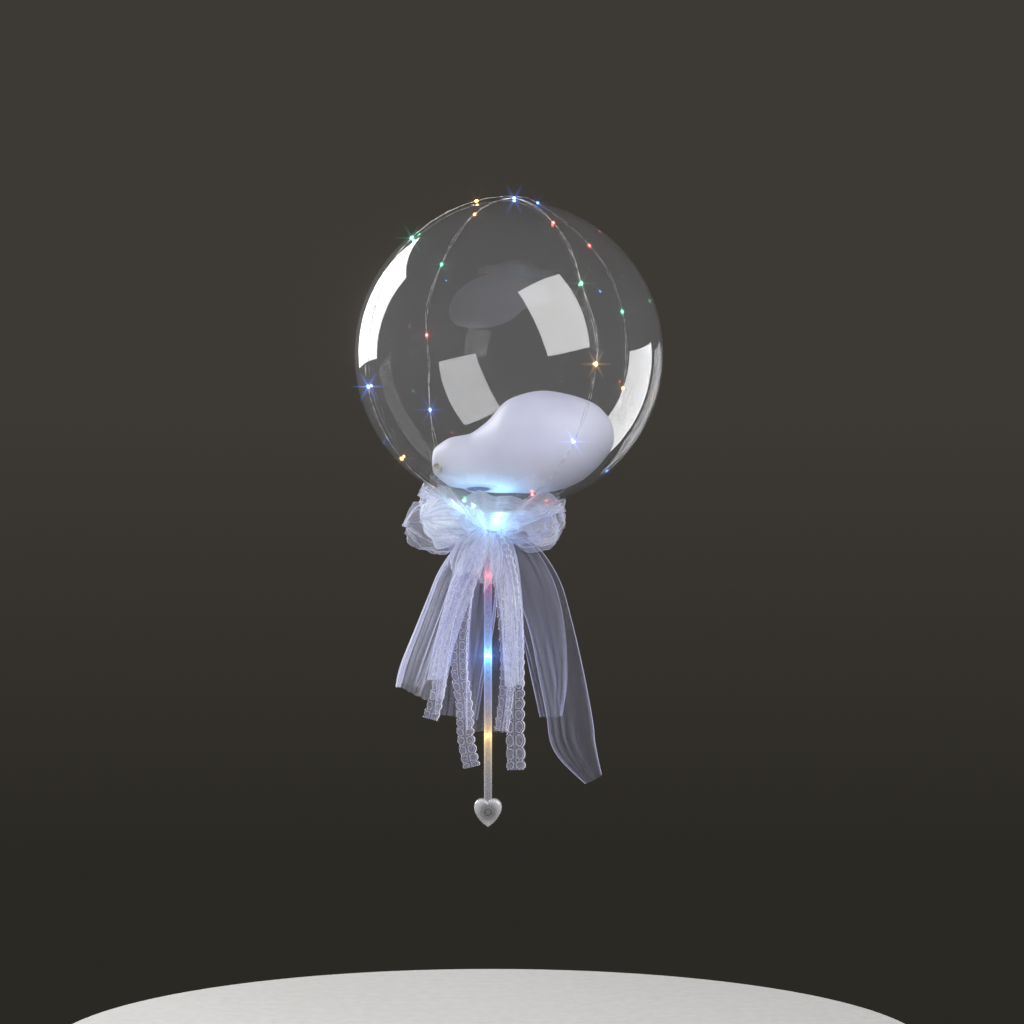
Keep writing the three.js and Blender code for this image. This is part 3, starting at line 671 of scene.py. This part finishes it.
ROUTE = string_route()
WIRE_RADIUS = 0.00022
WIRE_STEP = 0.004
WIRE_CLOSE = 0.00042  # from the middle of the string, at a lamp
WIRE_SPREAD = 0.0024  # how much further apart between lamps
WIRE_SPREAD_IN_TUBE = 0.0005
WIRE_CRINKLE, WIRE_LIFT = 0.0007, 0.0006  # how far it strays to the side and outwards
BUBBLE_FROM = 0.36  # height from which the string lies on the film
TUBE_TO = 0.335  # height up to which it is in the tube


def outward(point):
    """Away from what the string lies on: the film, or the tube's axis."""
    if point.z > BUBBLE_FROM:
        return (point - BUBBLE_CENTRE).normalized()
    flat = Vector((point.x, point.y, 0))
    return flat.normalized() if flat.length > 0.003 else FRONT


def make_wires():
    """Two fine wires side by side, crinkled, that spread between the lamps and close in at each."""
    steps = int(STRING_LENGTH / WIRE_STEP)
    sides = ([], [])
    for i in range(steps + 1):
        distance = STRING_LENGTH * i / steps
        point, direction = along(ROUTE, distance)
        out = outward(point)
        side = direction.cross(out).normalized()
        share = math.sin(math.pi * (distance - FIRST_LIGHT) / LIGHT_PITCH) ** 2
        inside = point.z < TUBE_TO and abs(point.x) < TUBE_RADIUS - 0.001
        widest = WIRE_SPREAD_IN_TUBE if inside else WIRE_SPREAD
        spread = WIRE_CLOSE + widest * share * (0.55 + noise.noise((distance * 9, 3, 0)))
        for wire, sign in zip(sides, (-1, 1)):
            crinkle = WIRE_CRINKLE * share * noise.noise((distance * 70, sign * 5, 1))
            lift = WIRE_LIFT * share * noise.noise((distance * 55, sign * 8, 2))
            wire.append(point + side * (sign * spread + crinkle) + out * lift)
    wires = piece("string_wires", *joined(*(swept(w, WIRE_RADIUS, 6) for w in sides)), wire_look())
    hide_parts("light_wire")


# How bright the lamps look that face the front or lie in the bow. The rest show their sides.
FACING_FRONT = {
    2: 1.0, 6: 1.6, 8: 0.5, 10: 2.0, 12: 0.5, 13: 1.2, 14: 3.2,
    18: 4.0, 20: 0.8, 22: 2.0, 26: 1.6, 28: 0.12, 29: 0.08, 30: 0.12,
}
SIDE_ON = 0.3
CORE_STRENGTH = 50
LAMP_WATTS = 0.012
NECK_LAMPS = {4: 0.05, 16: 0.03, 28: 0.02, 29: 0.008, 30: 0.012}  # watts of the lamps round the cup
NECK_GLOW = (0.40, 0.88, 1.0)
NECK_GLOW_AT = Vector((0.012, -0.030, 0.364))
NECK_GLOW_WATTS = 0.060
TUBE_LAMPS = {1: 0.008, 2: 0.045, 3: 0.004}  # watts
LAMP_DROP = (0.0019, 0.0052, 16, 12)  # radius, length, sides and rows
LAMP_CHIP = (0.0009, 0.0020, 12, 8)


def drop(radius, length, sides, rows):
    angles = [math.pi * i / rows for i in range(rows + 1)]
    profile = [(max(radius * math.sin(a) ** 0.8, POLE), -length / 2 * math.cos(a)) for a in angles]
    return turned(profile, sides)


def make_lamps():
    resins = [resin_look("resin_" + name, colour) for name, colour in COLOURS]
    cores = {}
    for i in range(LIGHT_COUNT):
        number = i + 1
        name, colour = COLOURS[i % len(COLOURS)]
        bright = FACING_FRONT.get(number, SIDE_ON)
        if (name, bright) not in cores:
            cores[name, bright] = lamp_look(f"core_{name}_{number:02d}", colour, CORE_STRENGTH * bright)
        centre, direction = along(ROUTE, FIRST_LIGHT + i * LIGHT_PITCH)
        turn = UP.rotation_difference(direction)
        shell = drop(*LAMP_DROP)
        vertices, faces = joined(shell, drop(*LAMP_CHIP))
        placed = [turn @ v + centre for v in vertices]
        lamp = piece(f"lamp_{number:02d}", placed, faces, [resins[i % len(COLOURS)], cores[name, bright]])
        for face in lamp.data.polygons[len(shell[1]):]:
            face.material_index = 1
        lamp.visible_shadow = False
        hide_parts(f"light_{number:02d}")
        add_glow(number, centre, colour, bright)


def point_light(name, place, colour, watts, size):
    data = bpy.data.lights.new(name, "POINT")
    data.color = colour
    data.energy = watts
    data.shadow_soft_size = size
    made = new_object(name, data)
    made.location = place
    return made


def add_glow(number, centre, colour, bright):
    """The light that a lamp sheds round it. The film doesn't mirror that of the lamps round the cup."""
    watts = {**NECK_LAMPS, **TUBE_LAMPS}.get(number, LAMP_WATTS * min(bright, 1.2))
    shed = NECK_GLOW if number in NECK_LAMPS else tuple(mix(c, 1.0, 0.12) for c in colour)
    point_light(f"glow_{number:02d}", centre, shed, watts, 0.002).visible_glossy = number not in NECK_LAMPS


def add_neck_glow():
    """The light that the lamps bunched in the bow throw up on the bubble's neck and on the latex."""
    glow = point_light("glow_neck", NECK_GLOW_AT, NECK_GLOW, NECK_GLOW_WATTS, 0.006)
    glow.visible_camera = False
    glow.visible_glossy = False


make_wires()
make_lamps()
add_neck_glow()

# ---- the tube and the cup ----

# Painted glow in the tube's wall, emission that stands in for the light of the lamps in it and for the tinted
# light spread along it: height, colour, reach and strength.
TUBE_PAINTED_GLOW = [
    (0.0810, (1.0, 0.60, 0.02), 0.016, 1.0),
    (0.1810, (0.02, 0.22, 1.0), 0.034, 0.75),
    (0.1810, (0.10, 0.75, 1.0), 0.011, 1.3),
    (0.2810, (1.0, 0.06, 0.08), 0.010, 1.1),
    (0.2500, (0.25, 0.16, 0.55), 0.050, 0.25),
    (0.1250, (0.30, 0.18, 0.45), 0.022, 0.18),
    (0.0500, (0.40, 0.28, 0.16), 0.025, 0.22),
]


def make_tube():
    low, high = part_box("stick_tube")
    wall = 0.0006
    rounding = 0.0003
    outer, inner = TUBE_RADIUS, TUBE_RADIUS - wall
    heights = [mix(low.z + rounding, high.z - rounding, i / 60) for i in range(61)]
    profile = [(outer - rounding, low.z), *((outer, z) for z in heights), (outer - rounding, high.z)]
    profile += [(inner, high.z), *((inner, z) for z in reversed(heights[::6])), (inner, low.z)]
    look = clear_plastic_look("tube_plastic", 0.20, TUBE_PAINTED_GLOW)
    tube = piece("clear_tube", *turned(profile, 40, closed=True), look)
    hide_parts("stick_tube")


def make_cup():
    low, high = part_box("balloon_cup")
    floor = high.z - 0.0125
    stem, socket, wall = CUP_STEM_RADIUS, TUBE_RADIUS + 0.0003, 0.0012
    bowl = [(0.0095, -0.0002), (0.0122, 0.0028), (0.0140, 0.006), (0.0162, 0.009)]
    bowl = [(r, floor + z) for r, z in bowl]
    outside = [(stem, low.z + 0.0004), (stem + 0.0002, low.z + 0.001), (stem, floor - 0.0030), *bowl]
    wide = CUP_RIM_RADIUS
    rim = [(wide - 0.0004, high.z - 0.0004), (wide, high.z), (wide - wall, high.z)]
    inside = [(r - wall, z + 0.0003) for r, z in reversed(bowl)]
    profile = [*outside, *rim, *inside, (socket, floor - 0.0006), (socket, low.z + 0.0004), (socket, low.z)]
    shape = turned([*profile, (stem - 0.0003, low.z)], 64, closed=True)
    cup = piece("clear_cup", *shape, clear_plastic_look("cup_plastic", 0.14))
    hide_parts("balloon_cup")


make_tube()
make_cup()

# ---- the bow ----

KNOT = Vector((0, 0, 0.338))
FILM_GAP = 0.005  # the wires and lamps lie between the bow and the film
TULLE = tulle_look("tulle", 0.075, 0.085)
# Its bluer shades are partly the net's own lilac and partly painted blue light from the lamps near it.
SHEER_TULLE = tulle_look("tulle_sheer", 0.045, 0.025, ((0.58, 0.60, 0.92), (0.74, 0.76, 0.96)))
LAYERED_TULLE = tulle_look("tulle_layered", 0.10, 0.24, ((0.70, 0.74, 0.94), (0.84, 0.87, 0.98)))
DENSE_TULLE = tulle_look("tulle_gathered", 0.16, 0.46, ((0.78, 0.83, 0.95), (0.88, 0.91, 0.99)))


def off_film(point, gap):
    """A point of the bow, pressed away from the bubble if it would be within gap of the film."""
    away = point - BUBBLE_CENTRE
    least = BUBBLE_RADIUS + gap
    return point if away.length > least else BUBBLE_CENTRE + away.normalized() * least


def cloth(
    name, rows, columns, place, look, replaced=(), gap=FILM_GAP
):
    """A sheet of cloth. place(u, v) is where its point at shares u across and v along it goes. The size it
    was cut to is measured along its own threads, so its weave keeps its scale."""
    across = columns + 1
    vertices = [off_film(place(c / columns, r / rows), gap) for r in range(rows + 1) for c in range(across)]
    threads = [vertices[r * across:(r + 1) * across] for r in range(rows + 1)]
    wide = sum(map(length_of, threads)) / len(threads)
    long = sum(map(length_of, zip(*threads))) / across
    uvs = [((c / columns - 0.5) * wide, r / rows * long) for r in range(rows + 1) for c in range(across)]
    made = piece(name, vertices, grid_faces(rows + 1, across), look, flat=uvs)
    if replaced:
        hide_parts(*replaced)


def crumple(spot, seed):
    """Creased cloth's height at a spot, from about -1 to 1, with sharp ridges about one unit apart."""
    spot = spot + Vector((seed * 7.3, seed * 3.1, seed * 5.7))
    return 1 - 2.6 * abs(noise.noise(spot)) - 0.9 * abs(noise.noise(spot * 2.3))


def pleat(phase):
    """A fold's height, from -1 to 1, with crests that are nearly sharp."""
    return math.asin(0.985 * math.sin(phase)) / math.asin(0.985)


def puff(name, centre, reach, pleats, seed, look, replaced=()):
    """A bag of net that swells out of the knot, pleated at its root and crumpled all over. centre is its
    middle and reach its half size outwards, in depth and upwards, in millimetres."""
    middle, half = Vector(centre) * MM, Vector(reach) * MM
    out = Vector((middle.x, middle.y, 0)).normalized()
    deep = UP.cross(out)

    def place(u, v):
        turn, far = 2 * math.pi * u, math.pi * mix(0.08, 0.985, v)
        rim = Vector((0, math.cos(turn), math.sin(turn)))
        spot = rim * math.sin(far) - Vector((math.cos(far), 0, 0))
        folds = 0.15 * crumple(polar(1, turn, 0.7 * v) * 1.7, seed)
        lumps = 0.24 * crumple(spot * 0.8, seed + 1) + 0.030 * crumple(spot * 2.6, seed + 2)
        root = 0.10 * pleat(pleats * turn + 2 * math.sin(2 * turn + seed)) * (1 - smooth(0.25, 1.0, v))
        size = 1 + folds + lumps + root
        place_out = out * spot.x * half.x + deep * spot.y * half.y + UP * spot.z * half.z
        tied = KNOT + out * 0.006 + (deep * rim.y + UP * rim.z) * 0.008
        return tied.lerp(middle + place_out * size, smooth(0, 0.25, v))

    cloth(name, 80, 120, place, look, replaced, gap=FILM_GAP + 0.0003 * seed)


PUFFS = {
    "puff_left_outer": ((-66, -20, 342), (33, 20, 29), 9, 1, TULLE, ("bow_puff_left",)),
    "puff_left_middle": ((-48, -27, 351), (30, 20, 31), 10, 2, DENSE_TULLE, ()),
    "puff_left_inner": ((-44, -24, 347), (25, 15, 24), 9, 3, DENSE_TULLE, ()),
    "puff_left_front": ((-22, -27, 352), (19, 11, 19), 7, 4, LAYERED_TULLE, ()),
    "puff_right_outer": ((56, -26, 346), (28, 19, 29), 9, 5, TULLE, ("bow_puff_right",)),
    "puff_right_middle": ((46, -26, 350), (26, 17, 24), 9, 6, SHEER_TULLE, ()),
    "puff_right_front": ((26, -27, 351), (20, 11, 18), 7, 7, LAYERED_TULLE, ()),
    "puff_back_left": ((-56, 46, 366), (30, 15, 38), 8, 8, TULLE, ("bow_loops_back",)),
    "puff_back_right": ((64, 42, 360), (32, 15, 34), 8, 9, TULLE, ()),
    "puff_back": ((6, 40, 344), (28, 22, 22), 9, 10, DENSE_TULLE, ()),
}


def make_knot():
    """The middle of the bow: net wound round the cup's stem and pulled tight."""

    def place(u, v):
        angle = 2 * math.pi * v * 1.02
        t = 2 * u - 1
        pulled = 0.0018 * math.sin(9 * angle + 6 * t) + 0.0012 * crumple(Vector((1.6 * angle, 2 * t, 0)), 2)
        radius = 0.0132 - 0.0028 * t * t + pulled
        height = KNOT.z + 0.0072 * t + 0.0016 * math.sin(2 * angle)
        return Vector((radius * math.sin(angle), -radius * math.cos(angle), height))

    cloth("knot_wrap", 140, 24, place, DENSE_TULLE, ("bow_knot",))


def make_collar():
    """Net that stands up out of the knot round the cup and spreads against the underside of the bubble. It
    comes furthest up in front, apart from a gap that leaves the crease of the latex in sight."""
    front, gap = math.radians(-84), math.radians(-110)
    root, edge = 3.7, 26  # degrees round the bubble from its foot

    def place(u, v):
        turn = 2 * math.pi * v
        ring = polar(1, turn, 0)
        opened = max(0, math.cos(turn - gap)) ** 50
        reach = edge + 5 * noise.noise(ring * 1.9) + 7 * max(0, math.cos(turn - front)) - 8 * opened
        down = math.radians(mix(root, reach, u ** 0.8))
        waves = 1 + pleat(15 * turn + 3 * noise.noise(ring * 1.3))
        frill = 0.0045 * u * waves + 0.004 * u * crumple(ring * 4, 5)
        stand = 0.022 * (1 - u) ** 2 + FILM_GAP + 0.002 + abs(frill)
        spot = ring * math.sin(down) - UP * math.cos(down)
        return on_head(spot * (BUBBLE_RADIUS + stand))

    cloth("collar_frill", 300, 22, place, LAYERED_TULLE)


def hanging(stations, v):
    """Where a tail's middle is at a share v down it, with its direction there and the way across it."""
    x, y, z, size = through(stations, v)
    ahead, behind = (Vector(through(stations, t)[:3]) for t in (v + 0.02, v - 0.02))
    direction = (ahead - behind).normalized()
    return Vector((x, y, z)) * MM, direction, FRONT.cross(direction).normalized(), size


def tulle_tail(name, stations, spare, pleats, seed, look, hem, turn_back=1.2, depth=0.006, replaced=()):
    """Net gathered at the knot, which opens into folds, its sides turned back on themselves. stations are
    (x, y, z, width) in millimetres from the knot down, and spare is how much wider it was cut."""

    def place(u, v):
        middle, direction, across, width = hanging(stations, v)
        width *= MM
        swing = (2 * u - 1) * math.pi / 2 * turn_back
        wander = u + 0.16 * noise.noise(Vector((u * 2.3 + seed, v * 1.1, seed)))
        waves = 2 * math.pi * pleats * wander + seed
        height = spare * width / (4 * pleats)
        size = 0.85 + 1.5 * noise.noise(Vector((u * pleats * 0.8, v * 1.2, seed + 4)))
        wave = min(height, 0.010) * size * pleat(waves)
        creases = 0.0022 * crumple(Vector((u * pleats * 0.9, v * 2.2, 0)), seed) * smooth(0, 0.15, v)
        deep = across.cross(direction)
        point = middle + across * (width / 2 * math.sin(swing) + 0.25 * wave * math.cos(waves * 0.5))
        point -= deep * (depth * math.cos(swing) * smooth(0, 0.35, v) + wave + creases)
        nicks = 0.4 * noise.noise(Vector((u * 17, seed, 5)))
        ragged = hem * (noise.noise(Vector((u * 4, seed * 2.7, 0))) + nicks)
        return point + direction * ragged * smooth(0.6, 1.0, v)

    cloth(name, 80, 12 * pleats, place, look, replaced)


TULLE_TAILS = {
    "tulle_left": dict(
        stations=[(-5, -13, 334, 18), (-20, -19, 312, 38), (-38, -20, 280, 48), (-52, -18, 245, 50),
                  (-66, -17, 208, 52), (-78, -15, 170, 58), (-86, -14, 134, 60)],
        spare=4.0, pleats=8, seed=21, look=TULLE, turn_back=1.45, replaced=("tulle_tail_left",), hem=0.008),
    "tulle_left_under": dict(
        stations=[(-6, -8, 334, 18), (-24, -10, 306, 38), (-46, -10, 262, 46), (-68, -9, 216, 40),
                  (-88, -8, 170, 40), (-98, -8, 145, 34)],
        spare=2.0, pleats=5, seed=22, look=SHEER_TULLE, hem=0.004),
    "tulle_left_inner": dict(
        stations=[(-4, -12, 334, 14), (-15, -15, 310, 28), (-29, -16, 275, 30), (-43, -15, 235, 28),
                  (-55, -14, 195, 24), (-65, -13, 152, 22)],
        spare=2.8, pleats=6, seed=28, look=DENSE_TULLE, hem=0.006, depth=0.003),
    "tulle_right": dict(
        stations=[(8, -10, 334, 20), (30, -11, 312, 46), (52, -10, 276, 54), (64, -9, 236, 56),
                  (72, -9, 192, 52), (77, -8, 150, 44), (79, -8, 106, 28)],
        spare=1.6, pleats=5, seed=23, look=SHEER_TULLE, turn_back=1.25, depth=0.008, hem=0.002),
    "tulle_right_long": dict(
        stations=[(10, -5, 334, 22), (36, -5, 308, 50), (62, -5, 268, 56), (78, -4, 220, 54),
                  (90, -4, 166, 56), (101, -4, 110, 56), (108, -4, 72, 54), (132, -4, 27, 24)],
        spare=1.3, pleats=3, seed=24, look=SHEER_TULLE, replaced=("tulle_tail_right",), hem=0.002),
    "tulle_back_left": dict(
        stations=[(-2, 12, 334, 24), (-12, 15, 300, 52), (-24, 17, 230, 66), (-34, 18, 160, 60),
                  (-40, 18, 104, 54)],
        spare=2.0, pleats=6, seed=25, look=SHEER_TULLE, replaced=("tulle_tail_back",), hem=0.003),
    "tulle_back_right": dict(
        stations=[(4, 10, 334, 24), (10, 13, 300, 50), (8, 14, 230, 62), (2, 15, 160, 58), (-2, 15, 86, 50)],
        spare=2.0, pleats=6, seed=26, look=SHEER_TULLE, hem=0.003),
    "tulle_front": dict(
        stations=[(8, -12, 336, 20), (18, -15, 310, 32), (26, -16, 270, 30), (30, -15, 220, 28),
                  (33, -14, 144, 24)],
        spare=2.0, pleats=6, seed=27, look=DENSE_TULLE, hem=0.003, turn_back=1.0, depth=0.003),
    "tulle_skirt": dict(
        stations=[(0, -20, 338, 24), (-8, -31, 320, 56), (-14, -34, 302, 66), (-20, -33, 280, 68)],
        spare=2.0, pleats=7, seed=31, look=LAYERED_TULLE, hem=0.024, turn_back=1.1, depth=0.008),
}


def lace_tail(name, stations, width, seed, look, replaced):
    """A lace ribbon that hangs in slow waves, its edges cut round each scallop. stations are (x, y, z) in
    millimetres and its turn about its length in degrees."""
    length = length_of([Vector(s[:3]) * MM for s in stations])
    rows = int(length / LACE_PITCH * 8)

    def place(u, v):
        middle, direction, across, turn = hanging(stations, v)
        deep = across.cross(direction)
        phase = (v * length / LACE_PITCH) % 1 - 0.5
        edge = 1 - LACE_SCALLOP + LACE_SCALLOP * math.sqrt(abs(math.cos(math.pi * phase)))
        t = (2 * u - 1) * edge * width / 2
        yaw = math.radians(turn)
        sway = 0.0022 * math.sin(9 * v + 1.7 * seed) * smooth(0, 0.2, v)
        gather = mix(0.5, 1, smooth(0, 0.16, v))
        point = middle + across * t * math.cos(yaw) * gather + deep * (t * math.sin(yaw) + sway)
        return point + deep * 0.0012 * noise.noise(point * 110)

    cloth(name, rows, 14, place, look, replaced)


LACE_TAILS = {
    "lace_left": dict(
        stations=[(-4, -15, 336, 0), (-20, -26, 304, 10), (-38, -28, 264, 20), (-50, -27, 222, 35),
                  (-57, -26, 180, 30), (-61, -25, 142, 25), (-71, -25, 104, 10)],
        width=0.021, seed=1, replaced=("lace_tail_left",)),
    "lace_middle": dict(
        stations=[(-3, -18, 336, 0), (-14, -27, 306, -10), (-27, -25, 262, -20), (-35, -23, 212, -10),
                  (-35, -22, 165, 5), (-29, -21, 120, 5), (-27, -21, 80, 0), (-20, -20, 44, 5)],
        width=0.0225, seed=2, replaced=("lace_tail_middle",)),
    "lace_right": dict(
        stations=[(6, -20, 336, 0), (18, -25, 310, 10), (28, -22, 268, 5), (33, -20, 215, 0),
                  (34, -19, 160, 0), (34, -18, 105, 0), (35, -18, 40, 0)],
        width=0.0245, seed=3, replaced=("lace_tail_right",)),
    "lace_short": dict(
        stations=[(4, -16, 336, 0), (12, -17, 300, 10), (20, -15, 250, 10), (25, -13, 190, 5),
                  (24, -12, 140, 15), (17, -12, 88, 25)],
        width=0.021, seed=4, replaced=("lace_tail_short",)),
}


def make_bow():
    make_knot()
    make_collar()
    for name, facts in PUFFS.items():
        puff(name, *facts)
    for name, facts in TULLE_TAILS.items():
        tulle_tail(name, **facts)
    for name, facts in LACE_TAILS.items():
        lace_tail(name, look=lace_look(name + "_lace", facts["width"]), **facts)


make_bow()

# ---- the heart-shaped handle ----

HEART_MIDDLE = Vector((0, 0, -0.0135))
HEART_REACH = 0.0175
SOFT_EDGE, CRISP_EDGE = 0.0012, 0.0004  # how wide the moulded edges look rounded
# Its painted shading darkens the heart's middle and leaves its rims light, as painted shade and rim
# highlights.
WHITE = moulded(
    "white_plastic", (0.50, 0.50, 0.52), (0.58, 0.58, 0.60), 0.34, coat=0.8, rounding=SOFT_EDGE,
    painted_shading=(HEART_MIDDLE, HEART_REACH, 0.34),
)
COVER = moulded("cover_plastic", (0.18, 0.18, 0.19), (0.23, 0.23, 0.24), 0.42, rounding=CRISP_EDGE)
BUTTON = moulded("button_plastic", (0.13, 0.13, 0.13), (0.17, 0.17, 0.17), 0.45, rounding=CRISP_EDGE)
CAD_LOOKS = {
    "heart_front": WHITE,
    "heart_back": WHITE,
    "battery_cover": COVER,
    "push_button": BUTTON,
    "switch_plunger": moulded("plunger_plastic", (0.02, 0.02, 0.02), (0.04, 0.04, 0.04), 0.5),
    "switch_body": moulded("switch_plastic", (0.015, 0.015, 0.017), (0.03, 0.03, 0.033), 0.45),
    "circuit_board": moulded("solder_mask", (0.02, 0.12, 0.05), (0.04, 0.20, 0.08), 0.3, grain=400),
}
# The metal pieces: a pair of each, its dark and light shade, and its roughness.
METALS = {
    ("contact_front", "contact_back"): ((0.50, 0.48, 0.42), (0.64, 0.62, 0.56), 0.3),
    ("coin_cell_front", "coin_cell_back"): ((0.55, 0.55, 0.56), (0.66, 0.66, 0.67), 0.28),
    ("case_screw_left", "case_screw_right"): ((0.42, 0.42, 0.43), (0.58, 0.58, 0.60), 0.35),
}
for pair, facts in METALS.items():
    CAD_LOOKS |= {node: moulded(node + "_steel", *facts, metallic=1.0) for node in pair}


def dress_cad_nodes():
    for name, look in CAD_LOOKS.items():
        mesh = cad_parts[name].data
        mesh.materials.clear()
        mesh.materials.append(look)


dress_cad_nodes()

# ---- floor, light and air ----

FLOOR_Z = -0.30
FLOOR_RADIUS = 0.55
BACKDROP = (0.047, 0.042, 0.035)  # level with the eye and above
BACKDROP_LOW = (0.024, 0.022, 0.018)  # a little below it
HORIZON_LOW, HORIZON_HIGH = -0.12, 0.04  # the height of the directions between the two
CLEAR_LAYERS = 48  # of film, plastic and net that light may pass
# Two soft windows: where each stands seen from the bubble, its size, and how bright its face is.
WINDOWS = {
    "window_front_right": dict(
        toward=(0.452, -0.60, 0.335), distance=1.6, size=(1.02, 1.5), roll=14, radiance=5.4),
    "window_back_left": dict(toward=(-0.755, 0.569, 0.326), distance=1.7, size=(1.10, 1.20), radiance=8.0),
}
# Soft light that has no mirror image in the film.
FILLS = {
    "fill_front_left": dict(toward=(-0.45, -0.80, 0.25), distance=1.8, size=(1.6, 1.6), radiance=2.1),
    "fill_back_right": dict(toward=(0.65, 0.65, 0.30), distance=1.8, size=(1.2, 1.6), radiance=1.6),
    "fill_left": dict(toward=(-1.0, -0.30, 0.05), distance=1.6, size=(0.9, 1.4), radiance=2.6),
    "fill_low_right": dict(toward=(0.60, -0.62, -0.35), distance=1.6, size=(0.8, 0.8), radiance=1.6),
}


def make_floor():
    sides = 96
    edge = [polar(FLOOR_RADIUS, 2 * math.pi * k / sides, FLOOR_Z) for k in range(sides)]
    mesh = bpy.data.meshes.new("floor")
    mesh.from_pydata([tuple(v) for v in edge], [], [tuple(range(sides))])
    mesh.materials.append(moulded("floor_paint", (0.50, 0.49, 0.48), (0.54, 0.53, 0.52), 0.85, grain=200))
    floor = new_object("floor", mesh)
    floor.visible_glossy = False


def make_lights():
    for name, facts in {**WINDOWS, **FILLS}.items():
        data = bpy.data.lights.new(name, "AREA")
        data.shape = "RECTANGLE"
        data.size, data.size_y = facts["size"]
        data.energy = facts["radiance"] * math.pi * data.size * data.size_y
        lamp = new_object(name, data)
        toward = Vector(facts["toward"]).normalized()
        lamp.location = BUBBLE_CENTRE + toward * facts["distance"]
        lamp.rotation_mode = "QUATERNION"
        roll = Quaternion(toward, math.radians(facts.get("roll", 0)))
        lamp.rotation_quaternion = roll @ toward.to_track_quat("Z", "Y")
        lamp.visible_camera = False
        lamp.visible_glossy = name in WINDOWS


def make_air():
    scene = bpy.context.scene
    look = Look("backdrop", bpy.data.worlds)
    height = look.node("SeparateXYZ", {0: look.node("TexCoord").outputs["Generated"]}).outputs["Z"]
    inputs = {"Value": height, "From Min": HORIZON_LOW, "From Max": HORIZON_HIGH}
    risen = look.node("MapRange", inputs).outputs["Result"]
    shade = look.colours("MIX", (*BACKDROP_LOW, 1), (*BACKDROP, 1), risen)
    scene.world = look.done(look.node("Background", {"Color": shade}), "OutputWorld")
    scene.view_settings.view_transform = "Standard"
    scene.cycles.transparent_max_bounces = CLEAR_LAYERS


GLARES = {
    "BLOOM": {"Threshold": 1.2, "Strength": 0.34, "Size": 0.30},
    "STREAKS": {"Threshold": 4.0, "Strength": 0.12, "Streaks": 6, "Fade": 0.85, "Iterations": 2},
}


def make_lens():
    """The small stars and halos that a lens draws round bright lamps."""
    scene = bpy.context.scene
    scene.use_nodes = True
    tree = scene.node_tree
    tree.nodes.clear()
    picture = tree.nodes.new("CompositorNodeRLayers").outputs["Image"]
    for kind, facts in GLARES.items():
        glare = tree.nodes.new("CompositorNodeGlare")
        glare.glare_type = kind
        glare.quality = "HIGH"
        for key, value in {"Clamp": True, "Maximum": 90.0, **facts}.items():
            glare.inputs[key].default_value = value
        tree.links.new(picture, glare.inputs["Image"])
        picture = glare.outputs["Image"]
    tree.links.new(picture, tree.nodes.new("CompositorNodeComposite").inputs["Image"])


make_floor()
make_lights()
make_air()
make_lens()
